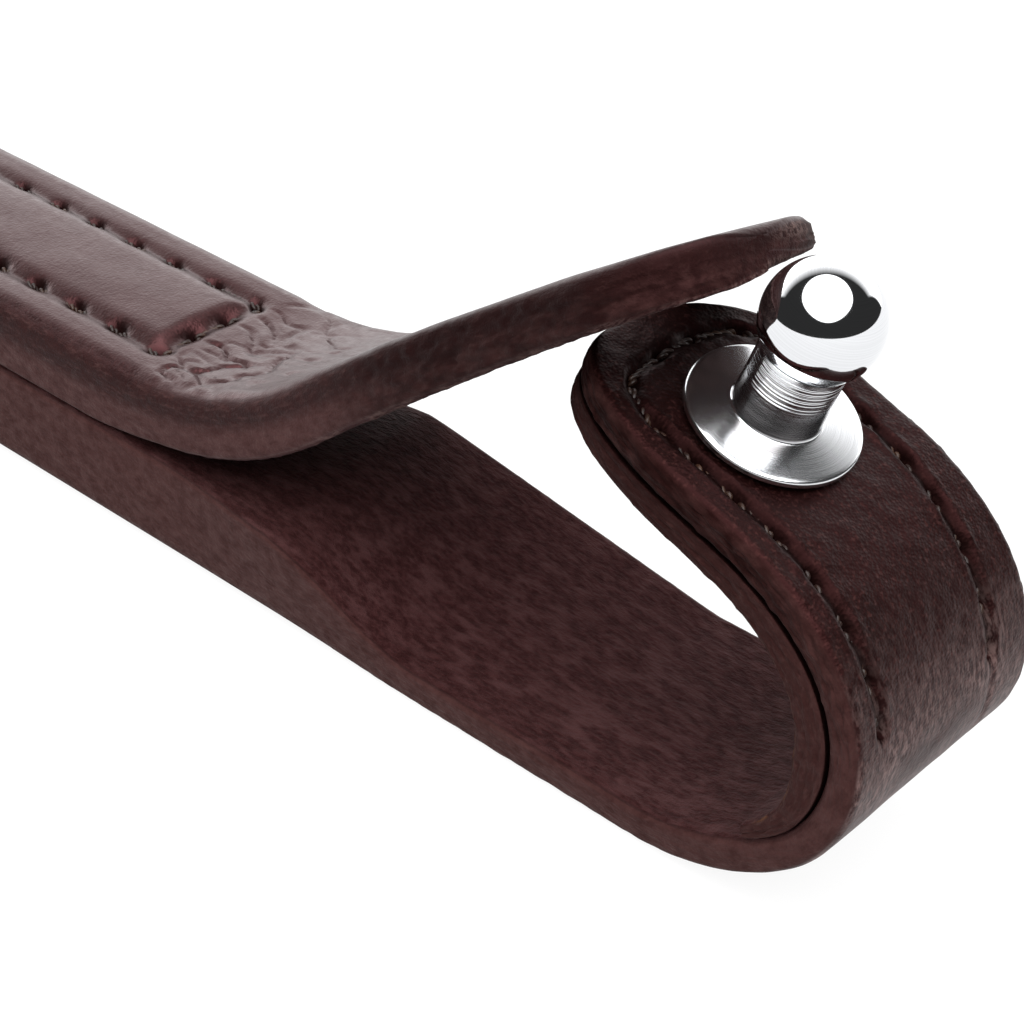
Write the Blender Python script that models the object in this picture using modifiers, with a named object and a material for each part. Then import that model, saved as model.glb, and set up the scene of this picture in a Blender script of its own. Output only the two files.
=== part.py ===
"""Looped end of a leather strap, fastened by a screwed ball stud.

Metres, +Z up, +X along the strap towards its loop, +Y to the far side.
The origin is on the flat underside, which the strap rests on.
"""
from math import asin, cos, dist, pi, radians, sin, sqrt

import bmesh
import bpy
from mathutils import Matrix, Vector

# Strap
STRAP_WIDTH = 0.0156
CUT_END_X = -0.0270
FLAT_LENGTH = 0.0904
UPPER_THICKNESS = 0.0052
LOWER_THICKNESS = 0.0072
PIECE_GAP = 0.0003
GRAIN_ROUND = 0.0010
FLESH_ROUND = 0.0004
ROUND_MIDDLE_SHARE = 0.3
PADDING_RISE = 0.0004

# Loop: bends of the outer face, then the arm that carries the stud
ENTRY_BEND_RADIUS = 0.0160
ENTRY_BEND_ANGLE = radians(40)
END_BEND_RADIUS = 0.01085
END_BEND_ANGLE = radians(95)
ARM_BEND_RADIUS = 0.0160
ARM_BEND_ANGLE = radians(25)
ARM_LENGTH = 0.0139
ARM_TIP_LENGTH = 0.0105
ARM_FAR_TIP_LENGTH = 0.0092
ARM_APEX = -0.0025
TIP_ROUNDNESS = 2.3

# Lower strap: thinned on the inside of the loop, less steeply at the far edge
LOOP_THICKNESS = 0.0027
ARM_THICKNESS = 0.0020
SKIVE_START = 0.0300
SKIVE_NEAR_LENGTH = 0.0130
SKIVE_FAR_LENGTH = 0.0240
LOOP_ROUND = 0.0006
LOOP_TWIST = radians(8.2)
TWIST_ONSET = 0.0410
TWIST_RISE = 0.0140
TWIST_HOLD = 0.0040
TWIST_FADE_LENGTH = 0.0220
LOOP_SKEW = 0.026
LOOP_SKEW_LENGTH = 0.0140

# Lining inside the stud arm, thinned to a feather edge in the loop
LINING_THICKNESS = 0.0019
LINING_TIP_THICKNESS = 0.0014
LINING_FEATHER = 0.0006
LINING_ROUND = 0.0003
LINING_START = 0.0100
LINING_SKIVE_LENGTH = 0.0100

# Tongue: the upper strap's free end, with a buttonhole for the stud
TONGUE_OVER_TIP = 0.0022
TONGUE_BEFORE_BALL = 0.0015
TONGUE_BEND_RADIUS = 0.0275
TONGUE_RISE = radians(34.4)
TONGUE_TIP_LENGTH = 0.0065
TONGUE_ROOT_THICKNESS = 0.0047
TONGUE_TIP_THICKNESS = 0.0029
TONGUE_FAR_THINNING = 0.0022
TONGUE_THINNING_TURN = radians(157)
TONGUE_TWIST = radians(15.9)
TONGUE_UNTWIST = 0.42
BUTTONHOLE_DIAMETER = 0.0055
BUTTONHOLE_FROM_TIP = 0.0095
SLIT_WIDTH = 0.0006
SLIT_LENGTH = 0.0050

# Stitching
THREAD_DIAMETER = 0.0005
THREAD_LEG_SPACING = 0.0007
STRAP_ROW = 0.0043
STRAP_PITCH = 0.00425
ROOT_TO_CROSS_ROW = 0.0010
STRAP_CROSS_STITCHES = 3
STRAP_END_MARGIN = 0.0035
ARM_ROW = 0.0057
ARM_FAR_ROW_DRIFT = 0.0017
ARM_PITCH = 0.0030
ARM_SEAM_START = 0.0230
ARM_SEAM_CORNER = 0.0030
ARM_FAR_SEAM_CORNER = 0.0045
ARM_TIP_MARGIN = 0.0030
GROOVE_WIDTH = 0.0016
GROOVE_FLOOR_WIDTH = 0.0011
TOP_GROOVE_DEPTH = 0.00055
REST_GROOVE_DEPTH = 0.0010

# Ball stud, one turned piece, heights from the underside of its flange
STUD_FROM_TIP = 0.0096
FLANGE_DIAMETER = 0.0100
FLANGE_RIM = 0.00045
FLANGE_HEIGHT = 0.00075
NECK_DIAMETER = 0.0050
NECK_BASE_DIAMETER = 0.0053
BALL_DIAMETER = 0.0067
BALL_CENTRE = 0.0072
BALL_UNDERCUT_DIAMETER = 0.0047
BALL_LOWER_ANGLE = radians(35)
NECK_RIDGE = 0.00010
NECK_RIDGES = 4
NECK_RIDGE_PITCH = 0.00035
BORE_DEPTH = 0.0046

# Screw from the back of the arm
SCREW_DIAMETER = 0.0030
SCREW_HEAD_DIAMETER = 0.0078
SCREW_HEAD_HEIGHT = 0.0011
SCREW_REACH = 0.0040
SCREW_SLOT_WIDTH = 0.0010
SCREW_SLOT_DEPTH = 0.0005

HALF_WIDTH = STRAP_WIDTH / 2
GROOVE_EDGE = GROOVE_WIDTH / 2
GROOVE_FLOOR = GROOVE_FLOOR_WIDTH / 2
STRAP_TOP = LOWER_THICKNESS + PIECE_GAP + UPPER_THICKNESS
SCREW_HOLE_DIAMETER = SCREW_DIAMETER + 2 * PIECE_GAP
SLOT_WIDTH = THREAD_DIAMETER + 2 * PIECE_GAP
SLOT_LENGTH = THREAD_DIAMETER + THREAD_LEG_SPACING + 2 * PIECE_GAP


class Path:
    """Side view of a strap's grain face: straight runs and bends, by the distance along it."""

    def __init__(self, start_x, start_z, runs):
        self.knots = []
        x, z, heading, distance = start_x, start_z, 0.0, 0.0
        for length, radius in runs:
            self.knots.append((distance, x, z, heading, radius))
            x, z, heading = self.advance(x, z, heading, radius, length)
            distance += length
        self.length = distance

    @staticmethod
    def advance(x, z, heading, radius, length):
        if radius is None:
            return x + length * cos(heading), z + length * sin(heading), heading
        turned = heading + length / radius
        x += radius * (sin(turned) - sin(heading))
        z += radius * (cos(heading) - cos(turned))
        return x, z, turned

    def at(self, distance):
        knot = self.knots[0]
        for candidate in self.knots:
            if distance >= candidate[0]:
                knot = candidate
        start, x, z, heading, radius = knot
        return self.advance(x, z, heading, radius, distance - start)


LOWER_PATH = Path(CUT_END_X, 0.0, [
    (FLAT_LENGTH, None),
    (ENTRY_BEND_RADIUS * ENTRY_BEND_ANGLE, ENTRY_BEND_RADIUS),
    (END_BEND_RADIUS * END_BEND_ANGLE, END_BEND_RADIUS),
    (ARM_BEND_RADIUS * ARM_BEND_ANGLE, ARM_BEND_RADIUS),
    (ARM_LENGTH, None),
])
STUD_AT = LOWER_PATH.length - STUD_FROM_TIP


def upper_path():
    """Path of the upper strap: its tongue clears the arm's tip and stops short of the ball."""
    tip_x, tip_z, _ = LOWER_PATH.at(LOWER_PATH.length)
    foot_x, foot_z, heading = LOWER_PATH.at(STUD_AT)
    ball_x = foot_x + (PIECE_GAP + BALL_CENTRE) * sin(heading)
    ball_z = foot_z - (PIECE_GAP + BALL_CENTRE) * cos(heading)
    run_z = STRAP_TOP + TONGUE_BEND_RADIUS * (1 - cos(TONGUE_RISE))
    below_tip = (tip_z - run_z) * cos(TONGUE_RISE) + TONGUE_OVER_TIP
    run_x = tip_x - below_tip / sin(TONGUE_RISE)
    root = run_x - TONGUE_BEND_RADIUS * sin(TONGUE_RISE) - CUT_END_X
    to_ball = (ball_x - run_x) * cos(TONGUE_RISE) + (ball_z - run_z) * sin(TONGUE_RISE)
    return Path(CUT_END_X, STRAP_TOP, [
        (root, None),
        (TONGUE_BEND_RADIUS * TONGUE_RISE, TONGUE_BEND_RADIUS),
        (to_ball - TONGUE_BEFORE_BALL, None),
    ])


UPPER_PATH = upper_path()
TONGUE_ROOT = UPPER_PATH.knots[1][0]
STRAP_CROSS_ROW = TONGUE_ROOT - ROOT_TO_CROSS_ROW


def ease(value, start, length):
    """Smooth step from 0 to 1 over a length."""
    share = min(max((value - start) / length, 0.0), 1.0)
    return share * share * (3 - 2 * share)


def mix(first, second, share):
    return first + (second - first) * min(max(share, 0.0), 1.0)


def loop_twist(distance):
    """Turn of the loop's section about the strap's run, which lifts its far edge."""
    onset = ease(distance, FLAT_LENGTH - TWIST_ONSET, TWIST_RISE)
    fade = ease(distance, FLAT_LENGTH + TWIST_HOLD, TWIST_FADE_LENGTH)
    return LOOP_TWIST * onset * (1 - fade)


def tongue_share(distance):
    """Place along the tongue, 0 at its root and before it, 1 at its tip."""
    return min(max((distance - TONGUE_ROOT) / (UPPER_PATH.length - TONGUE_ROOT), 0.0), 1.0)


def upper_roll(distance):
    """Twist of the tongue, which lowers its far edge and relaxes towards the tip."""
    share = tongue_share(distance)
    return TONGUE_TWIST * sin(share * pi / 2) * (1 - TONGUE_UNTWIST * share)


def lower_point(distance, across, depth):
    """Point of the loop strap: depth runs from its grain face to the inside of the loop."""
    x, z, heading = LOWER_PATH.at(distance)
    twist = loop_twist(distance)
    from_near_edge = across + HALF_WIDTH
    skew = LOOP_SKEW * ease(distance, FLAT_LENGTH, LOOP_SKEW_LENGTH)
    tangent = Vector((cos(heading), 0, sin(heading)))
    side = Vector((0, cos(twist), sin(twist)))
    inward = tangent.cross(side).normalized()
    near_edge = Vector((x + skew * from_near_edge, -HALF_WIDTH, z))
    return near_edge + side * from_near_edge + inward * depth


def upper_point(distance, across, depth):
    """Point of the upper strap: depth runs down from its grain face."""
    x, z, heading = UPPER_PATH.at(distance)
    roll = upper_roll(distance)
    down = Vector((sin(heading), 0, -cos(heading)))
    side = Vector((0, 1, 0))
    rolled_side = side * cos(roll) + down * sin(roll)
    rolled_down = down * cos(roll) - side * sin(roll)
    return Vector((x, 0, z)) + rolled_side * across + rolled_down * depth


def tip_fullness(distance, length, tip_length):
    """Share of a strap's width that is left within its rounded tip."""
    share = min(max((distance - (length - tip_length)) / tip_length, 0.0), 1.0)
    return max(1 - share ** TIP_ROUNDNESS, 0.0) ** (1 / TIP_ROUNDNESS)


def arm_edges(distance):
    """Near and far edge of the loop strap, whose tip is foremost nearer the near edge."""
    near = tip_fullness(distance, LOWER_PATH.length, ARM_TIP_LENGTH)
    far = tip_fullness(distance, LOWER_PATH.length, ARM_FAR_TIP_LENGTH)
    near_edge = ARM_APEX - (HALF_WIDTH + ARM_APEX) * near
    far_edge = ARM_APEX + (HALF_WIDTH - ARM_APEX) * far
    return near_edge, far_edge


def tip_drop(distance, length, edge_round):
    """Depth by which a face falls away towards the end of a strap's tip."""
    inside = min(max(distance - (length - edge_round), 0.0), edge_round)
    return edge_round - sqrt(edge_round ** 2 - inside ** 2)


def lower_thickness(distance, share_across):
    """Thickness of the lower strap, by its place along the strap and from near to far edge."""
    start = FLAT_LENGTH - SKIVE_START
    near = mix(LOWER_THICKNESS, LOOP_THICKNESS, ease(distance, start, SKIVE_NEAR_LENGTH))
    far = mix(LOWER_THICKNESS, LOOP_THICKNESS, (distance - start) / SKIVE_FAR_LENGTH)
    loop = mix(near, far, share_across)
    arm_start = FLAT_LENGTH + LINING_START - LINING_SKIVE_LENGTH / 2
    return mix(loop, ARM_THICKNESS, ease(distance, arm_start, LINING_SKIVE_LENGTH))


def lining_thickness(distance):
    start = FLAT_LENGTH + LINING_START
    full = start + LINING_SKIVE_LENGTH
    thickest = mix(LINING_FEATHER, LINING_THICKNESS, (distance - start) / LINING_SKIVE_LENGTH)
    return mix(thickest, LINING_TIP_THICKNESS, (distance - full) / (LOWER_PATH.length - full))


def upper_thickness(distance):
    tongue = mix(TONGUE_ROOT_THICKNESS, TONGUE_TIP_THICKNESS, tongue_share(distance))
    return mix(UPPER_THICKNESS, tongue, ease(distance, STRAP_CROSS_ROW, ROOT_TO_CROSS_ROW))


def far_thinning(distance):
    """Loss of thickness at the tongue's far edge, most over the arm and less at the tip."""
    return TONGUE_FAR_THINNING * sin(TONGUE_THINNING_TURN * tongue_share(distance))


def strap_section(half, face, back_near, back_far, face_round, back_round, relief=(0.0, 0.0, 0.0)):
    """Outline of a strap's section as (across, depth), the grain face first, near to far.

    relief is the depth of the two stitch grooves, the depth of the face between them and
    the height of its crown.
    """
    groove_depth, field, crown = relief
    scale = half / HALF_WIDTH
    face_round = min(face_round, half / 3)
    back_round = min(back_round, half / 3)
    middle = ROUND_MIDDLE_SHARE
    row = STRAP_ROW * scale
    groove = GROOVE_EDGE * scale
    groove_floor = GROOVE_FLOOR * scale

    def back(across):
        return mix(back_near, back_far, (across + half) / (2 * half))

    outline = [
        (-half, face + face_round),
        (-half + middle * face_round, face + middle * face_round),
        (-half + face_round, face),
    ]
    near_groove = [
        (-row - groove, face),
        (-row - groove_floor, face + groove_depth),
        (-row + groove_floor, face + groove_depth),
        (-row + groove, face + field),
    ]
    outline += near_groove
    outline.append((0.0, face + field - crown))
    outline += [(-across, depth) for across, depth in reversed(near_groove)]
    outline += [
        (half - face_round, face),
        (half - middle * face_round, face + middle * face_round),
        (half, face + face_round),
        (half, back(half) - back_round),
        (half - middle * back_round, back(half) - middle * back_round),
        (half - back_round, back(half - back_round)),
        (-half + back_round, back(-half + back_round)),
        (-half + middle * back_round, back(-half) - middle * back_round),
        (-half, back(-half) - back_round),
    ]
    return outline


def spread(start, end, step):
    """Even distances from start to end, about a step apart."""
    count = max(1, round((end - start) / step))
    return [start + (end - start) * index / count for index in range(count + 1)]


def tip_distances(length, tip_length):
    """Distances that follow a rounded tip, closer together towards its blunt end."""
    count = 6
    last_turn = radians(87)
    return [length - tip_length * (1 - sin(last_turn * index / count)) for index in range(count + 1)]


def cross_row_distances():
    """Distances that shape the groove of the strap's cross row, its two edges and its floor."""
    return [STRAP_CROSS_ROW + offset for offset in (-GROOVE_EDGE, -GROOVE_FLOOR, GROOVE_FLOOR, GROOVE_EDGE)]


def stitch_relief(distance, depth, crown):
    """Relief of a strap's section where it is stitched, for strap_section."""
    past_row = distance - STRAP_CROSS_ROW
    if abs(past_row) < (GROOVE_EDGE + GROOVE_FLOOR) / 2:
        return depth, depth, 0.0
    if past_row < GROOVE_WIDTH:
        return depth, 0.0, crown
    return 0.0, 0.0, 0.0


def new_material(name, colour, roughness, metallic=0.0):
    material = bpy.data.materials.new(name)
    material.use_nodes = True
    shader = material.node_tree.nodes["Principled BSDF"]
    shader.inputs["Base Color"].default_value = (*colour, 1.0)
    shader.inputs["Roughness"].default_value = roughness
    shader.inputs["Metallic"].default_value = metallic
    material.diffuse_color = (*colour, 1.0)
    return material


def new_object(name, mesh, collection, material=None):
    made = bpy.data.objects.new(name, mesh)
    collection.objects.link(made)
    if material is not None:
        mesh.materials.append(material)
    return made


def loft(name, rings, collection, material):
    """Closed skin through a row of outlines that all have as many points."""
    shape = bmesh.new()
    loops = [[shape.verts.new(point) for point in ring] for ring in rings]
    count = len(loops[0])
    for first, second in zip(loops, loops[1:]):
        for index in range(count):
            following = (index + 1) % count
            shape.faces.new((first[index], first[following], second[following], second[index]))
    shape.faces.new(loops[0])
    shape.faces.new(loops[-1])
    bmesh.ops.recalc_face_normals(shape, faces=shape.faces)
    mesh = bpy.data.meshes.new(name)
    shape.to_mesh(mesh)
    shape.free()
    mesh.shade_smooth()
    mesh.set_sharp_from_angle(angle=radians(40))
    return new_object(name, mesh, collection, material)


def lower_strap(collection, material):
    """Strap that runs underneath, round the loop and back to the stud."""
    flat = spread(0.0, STRAP_CROSS_ROW - GROOVE_WIDTH, 0.0100)
    skive = spread(STRAP_CROSS_ROW + GROOVE_WIDTH, FLAT_LENGTH, 0.0025)
    bends = spread(FLAT_LENGTH, LOWER_PATH.length - ARM_LENGTH, 0.0020)
    arm = spread(LOWER_PATH.length - ARM_LENGTH, LOWER_PATH.length - ARM_TIP_LENGTH, 0.0035)
    loop = bends[1:] + arm[1:] + tip_distances(LOWER_PATH.length, ARM_TIP_LENGTH)[1:]
    rings = []
    for distance in flat + cross_row_distances() + skive + loop:
        back_drop = tip_drop(distance, LOWER_PATH.length, FLESH_ROUND)
        thinned = ease(distance, FLAT_LENGTH - SKIVE_START, SKIVE_NEAR_LENGTH)
        near_edge, far_edge = arm_edges(distance)
        middle = (near_edge + far_edge) / 2
        outline = strap_section(
            (far_edge - near_edge) / 2,
            tip_drop(distance, LOWER_PATH.length, LOOP_ROUND),
            lower_thickness(distance, 0.0) - back_drop,
            lower_thickness(distance, 1.0) - back_drop,
            mix(GRAIN_ROUND, LOOP_ROUND, thinned),
            FLESH_ROUND,
            stitch_relief(distance, REST_GROOVE_DEPTH, 0.0),
        )
        rings.append([lower_point(distance, middle + across, depth) for across, depth in outline])
    return loft("lower_strap", rings, collection, material)


def loop_lining(collection, material):
    """Lining under the stud arm, glued and stitched to the lower strap."""
    start = FLAT_LENGTH + LINING_START
    bends = spread(start, LOWER_PATH.length - ARM_LENGTH, 0.0020)
    arm = spread(LOWER_PATH.length - ARM_LENGTH, LOWER_PATH.length - ARM_TIP_LENGTH, 0.0035)
    rings = []
    for distance in bends + arm[1:] + tip_distances(LOWER_PATH.length, ARM_TIP_LENGTH)[1:]:
        face = lower_thickness(distance, 0.0) + PIECE_GAP
        back = face + lining_thickness(distance) - tip_drop(distance, LOWER_PATH.length, LINING_ROUND)
        near_edge, far_edge = arm_edges(distance)
        middle = (near_edge + far_edge) / 2
        outline = strap_section(
            (far_edge - near_edge) / 2,
            face,
            back,
            back,
            LINING_ROUND / 2,
            LINING_ROUND,
        )
        rings.append([lower_point(distance, middle + across, depth) for across, depth in outline])
    return loft("loop_lining", rings, collection, material)


def upper_strap(collection, material):
    """Upper strap, which ends in the tongue that buttons over the stud."""
    flat = spread(0.0, STRAP_CROSS_ROW - GROOVE_WIDTH, 0.0100)
    bend_end = TONGUE_ROOT + TONGUE_BEND_RADIUS * TONGUE_RISE
    bend = spread(STRAP_CROSS_ROW + GROOVE_WIDTH, bend_end, 0.0022)
    straight = spread(bend_end, UPPER_PATH.length - TONGUE_TIP_LENGTH, 0.0035)
    tongue = bend + straight[1:] + tip_distances(UPPER_PATH.length, TONGUE_TIP_LENGTH)[1:]
    rings = []
    for distance in flat + cross_row_distances() + tongue:
        thickness = upper_thickness(distance) - tip_drop(distance, UPPER_PATH.length, FLESH_ROUND)
        outline = strap_section(
            HALF_WIDTH * tip_fullness(distance, UPPER_PATH.length, TONGUE_TIP_LENGTH),
            tip_drop(distance, UPPER_PATH.length, GRAIN_ROUND),
            thickness,
            thickness - far_thinning(distance),
            GRAIN_ROUND,
            FLESH_ROUND,
            stitch_relief(distance, TOP_GROOVE_DEPTH, PADDING_RISE),
        )
        rings.append([upper_point(distance, across, depth) for across, depth in outline])
    return loft("upper_strap", rings, collection, material)


class Hole:
    """One stitch hole: its place on the grain face, the way in, and the seam's direction.

    face and back are the depths of the two faces that its threads lie on.
    """

    def __init__(self, point, inward, face, back):
        self.point = point
        self.inward = inward
        self.face = face
        self.back = back
        self.along = Vector((1, 0, 0))


def aim_holes(holes):
    """Turns each hole along its seam."""
    last = len(holes) - 1
    for index, hole in enumerate(holes):
        chord = holes[min(index + 1, last)].point - holes[max(index - 1, 0)].point
        chord -= hole.inward * chord.dot(hole.inward)
        hole.along = chord.normalized()
    return holes


def strap_holes():
    """Holes of the strap's seam: near row, cross row at the tongue's root, far row."""
    row_count = int((STRAP_CROSS_ROW - STRAP_END_MARGIN) / STRAP_PITCH)
    along = [STRAP_CROSS_ROW - STRAP_PITCH * index for index in range(row_count + 1)]
    places = [(distance, -STRAP_ROW) for distance in reversed(along)]
    for index in range(1, STRAP_CROSS_STITCHES):
        places.append((STRAP_CROSS_ROW, -STRAP_ROW + 2 * STRAP_ROW * index / STRAP_CROSS_STITCHES))
    places += [(distance, STRAP_ROW) for distance in along]
    down = Vector((0, 0, -1))
    back = STRAP_TOP - REST_GROOVE_DEPTH
    holes = []
    for distance, across in places:
        holes.append(Hole(upper_point(distance, across, 0.0), down, TOP_GROOVE_DEPTH, back))
    return aim_holes(holes)


def arm_seam():
    """Course of the arm's seam round the rounded tip, as a chain of (distance, across) points."""
    start = FLAT_LENGTH + ARM_SEAM_START
    end = LOWER_PATH.length - ARM_TIP_MARGIN
    turns = spread(0.0, pi / 2, radians(10))
    chain = [(start, -ARM_ROW)]
    for turn in turns:
        from_end = ARM_SEAM_CORNER * (1 - sin(turn))
        chain.append((end - from_end, -ARM_ROW + ARM_SEAM_CORNER * (1 - cos(turn))))
    for turn in turns:
        from_end = ARM_FAR_SEAM_CORNER * (1 - cos(turn))
        chain.append((end - from_end, ARM_ROW - ARM_FAR_SEAM_CORNER * (1 - sin(turn))))
    chain.append((start, ARM_ROW - ARM_FAR_ROW_DRIFT))
    return chain


def evenly_along(chain, pitch):
    """Points at even spacing along a chain of points, as near the pitch as fits."""
    legs = [dist(start, end) for start, end in zip(chain, chain[1:])]
    total = sum(legs)
    count = round(total / pitch)
    places = []
    for index in range(count + 1):
        run = total * index / count
        leg = 0
        while run > legs[leg] and leg < len(legs) - 1:
            run -= legs[leg]
            leg += 1
        share = run / legs[leg]
        places.append([mix(start, end, share) for start, end in zip(chain[leg], chain[leg + 1])])
    return places


def arm_stack(distance):
    """Thickness of the arm and its lining together."""
    return lower_thickness(distance, 0.0) + PIECE_GAP + lining_thickness(distance)


def arm_holes():
    """Holes of the arm's seam."""
    holes = []
    for distance, across in evenly_along(arm_seam(), ARM_PITCH):
        stack = arm_stack(distance)
        point = lower_point(distance, across, 0.0)
        inward = (lower_point(distance, across, stack) - point).normalized()
        holes.append(Hole(point, inward, 0.0, stack))
    return aim_holes(holes)


def hole_cutter(name, holes, depth, collection):
    """Slot-shaped awl holes of one seam, joined as one cutter."""
    shape = bmesh.new()
    for hole in holes:
        across = hole.inward.cross(hole.along)
        place = Matrix.Identity(4)
        place.col[0].xyz = hole.along
        place.col[1].xyz = across
        place.col[2].xyz = hole.inward
        place.translation = hole.point + hole.inward * (depth / 2)
        size = Matrix.Diagonal((SLOT_LENGTH, SLOT_WIDTH, depth + SLOT_LENGTH, 1.0))
        bmesh.ops.create_cone(
            shape, cap_ends=True, segments=6, radius1=0.5, radius2=0.5, depth=1.0, matrix=place @ size,
        )
    return finish_cutter(name, shape, collection)


def finish_cutter(name, shape, collection):
    mesh = bpy.data.meshes.new(name)
    shape.to_mesh(mesh)
    shape.free()
    cutter = new_object(name, mesh, collection)
    cutter.hide_render = True
    cutter.display_type = "WIRE"
    return cutter


def box_cutter(name, centre, size, collection):
    shape = bmesh.new()
    place = Matrix.Translation(centre) @ Matrix.Diagonal((*size, 1.0))
    bmesh.ops.create_cube(shape, size=1.0, matrix=place)
    return finish_cutter(name, shape, collection)


def cut(target, cutter):
    modifier = target.modifiers.new(cutter.name, "BOOLEAN")
    modifier.operation = "DIFFERENCE"
    modifier.object = cutter
    modifier.solver = "EXACT"


def thread(name, holes, side, collection, material):
    """Thread that lies over a seam and dips into each of its holes.

    side is -1 for the thread on the grain face and 1 for the one on the back.
    """
    lift = THREAD_DIAMETER / 2 + PIECE_GAP
    turn_gap = (THREAD_DIAMETER + PIECE_GAP) / 2
    points = []
    for index, hole in enumerate(holes):
        surface = hole.face if side < 0 else hole.back
        over = hole.inward * (surface + side * lift)
        turn = hole.inward * ((hole.face + hole.back) / 2 + side * turn_gap)
        half_leg = hole.along * (THREAD_LEG_SPACING / 2)
        if index > 0:
            points.append(hole.point - half_leg + over)
            points.append(hole.point - half_leg + turn)
        if index < len(holes) - 1:
            points.append(hole.point + half_leg + turn)
            points.append(hole.point + half_leg + over)
    curve = bpy.data.curves.new(name, "CURVE")
    curve.dimensions = "3D"
    curve.bevel_depth = THREAD_DIAMETER / 2
    curve.bevel_resolution = 1
    curve.use_fill_caps = True
    spline = curve.splines.new("POLY")
    spline.points.add(len(points) - 1)
    for place, point in zip(spline.points, points):
        place.co = (*point, 1.0)
    return new_object(name, curve, collection, material)


def stud_frame():
    """Frame of the stud: its axis stands off the arm, its origin is under the flange."""
    foot = lower_point(STUD_AT, 0.0, -PIECE_GAP)
    _, _, heading = LOWER_PATH.at(STUD_AT)
    tilt = Matrix.Rotation(pi - heading, 4, "Y")
    return Matrix.Translation(foot) @ tilt


def turned(name, profile, frame, steps, collection, material):
    """Body turned from a profile of (radius, height) that runs down its outer side."""
    mesh = bpy.data.meshes.new(name)
    points = [(radius, 0.0, height) for radius, height in profile]
    edges = [(index, index + 1) for index in range(len(points) - 1)]
    mesh.from_pydata(points, edges, [])
    body = new_object(name, mesh, collection, material)
    body.matrix_world = frame
    screw = body.modifiers.new("turn", "SCREW")
    screw.axis = "Z"
    screw.steps = steps
    screw.render_steps = steps
    screw.use_merge_vertices = True
    screw.merge_threshold = 0.000001
    screw.use_smooth_shade = True
    return body


def ball_stud(collection, material):
    """Flange, grooved neck and ball head, turned in one piece with a bore for the screw."""
    ball = BALL_DIAMETER / 2
    neck = NECK_DIAMETER / 2
    rim = FLANGE_DIAMETER / 2
    bore = SCREW_HOLE_DIAMETER / 2
    profile = []
    arc_steps = 14
    for index in range(arc_steps + 1):
        angle = pi / 2 - (pi / 2 + BALL_LOWER_ANGLE) * index / arc_steps
        radius = 0.0 if index == 0 else ball * cos(angle)
        profile.append((radius, BALL_CENTRE + ball * sin(angle)))
    under_ball = BALL_CENTRE - ball * sin(BALL_LOWER_ANGLE)
    profile.append((BALL_UNDERCUT_DIAMETER / 2, under_ball - NECK_RIDGE))
    height = under_ball - NECK_RIDGE_PITCH
    for _ in range(NECK_RIDGES):
        profile.append((neck + NECK_RIDGE, height))
        profile.append((neck, height - NECK_RIDGE_PITCH / 2))
        height -= NECK_RIDGE_PITCH
    fillet = (NECK_BASE_DIAMETER - NECK_DIAMETER) / 2
    profile += [
        (neck, FLANGE_HEIGHT + 2 * fillet),
        (neck + fillet, FLANGE_HEIGHT),
        (rim - FLANGE_RIM / 3, FLANGE_RIM),
        (rim, FLANGE_RIM * 2 / 3),
        (rim, 0.0),
        (bore, 0.0),
        (bore, BORE_DEPTH),
        (0.0, BORE_DEPTH + bore / 2),
    ]
    return turned("ball_stud", profile, stud_frame(), 32, collection, material)


def stud_screw(collection, cutters, material):
    """Slotted screw whose head bears on the lining, and whose shank enters the stud."""
    seat = -PIECE_GAP - arm_stack(STUD_AT) - PIECE_GAP
    head = SCREW_HEAD_DIAMETER / 2
    shank = SCREW_DIAMETER / 2
    chamfer = SCREW_HEAD_HEIGHT / 3
    profile = [
        (0.0, SCREW_REACH),
        (shank - chamfer, SCREW_REACH),
        (shank, SCREW_REACH - chamfer),
        (shank, seat),
        (head, seat),
        (head, seat - SCREW_HEAD_HEIGHT + chamfer),
        (head - chamfer, seat - SCREW_HEAD_HEIGHT),
        (0.0, seat - SCREW_HEAD_HEIGHT),
    ]
    screw = turned("stud_screw", profile, stud_frame(), 28, collection, material)
    slot = box_cutter(
        "screw_slot_cutter",
        Vector((0, 0, 0)),
        (SCREW_SLOT_WIDTH, 1.5 * SCREW_HEAD_DIAMETER, 2 * SCREW_SLOT_DEPTH),
        cutters,
    )
    slot.matrix_world = stud_frame() @ Matrix.Translation((0, 0, seat - SCREW_HEAD_HEIGHT))
    cut(screw, slot)
    return screw


def screw_hole_cutter(collection):
    shape = bmesh.new()
    stack = arm_stack(STUD_AT)
    place = stud_frame() @ Matrix.Translation((0, 0, -stack / 2))
    radius = SCREW_HOLE_DIAMETER / 2
    bmesh.ops.create_cone(
        shape, cap_ends=True, segments=20, radius1=radius, radius2=radius, depth=2 * stack, matrix=place,
    )
    return finish_cutter("screw_hole_cutter", shape, collection)


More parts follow.
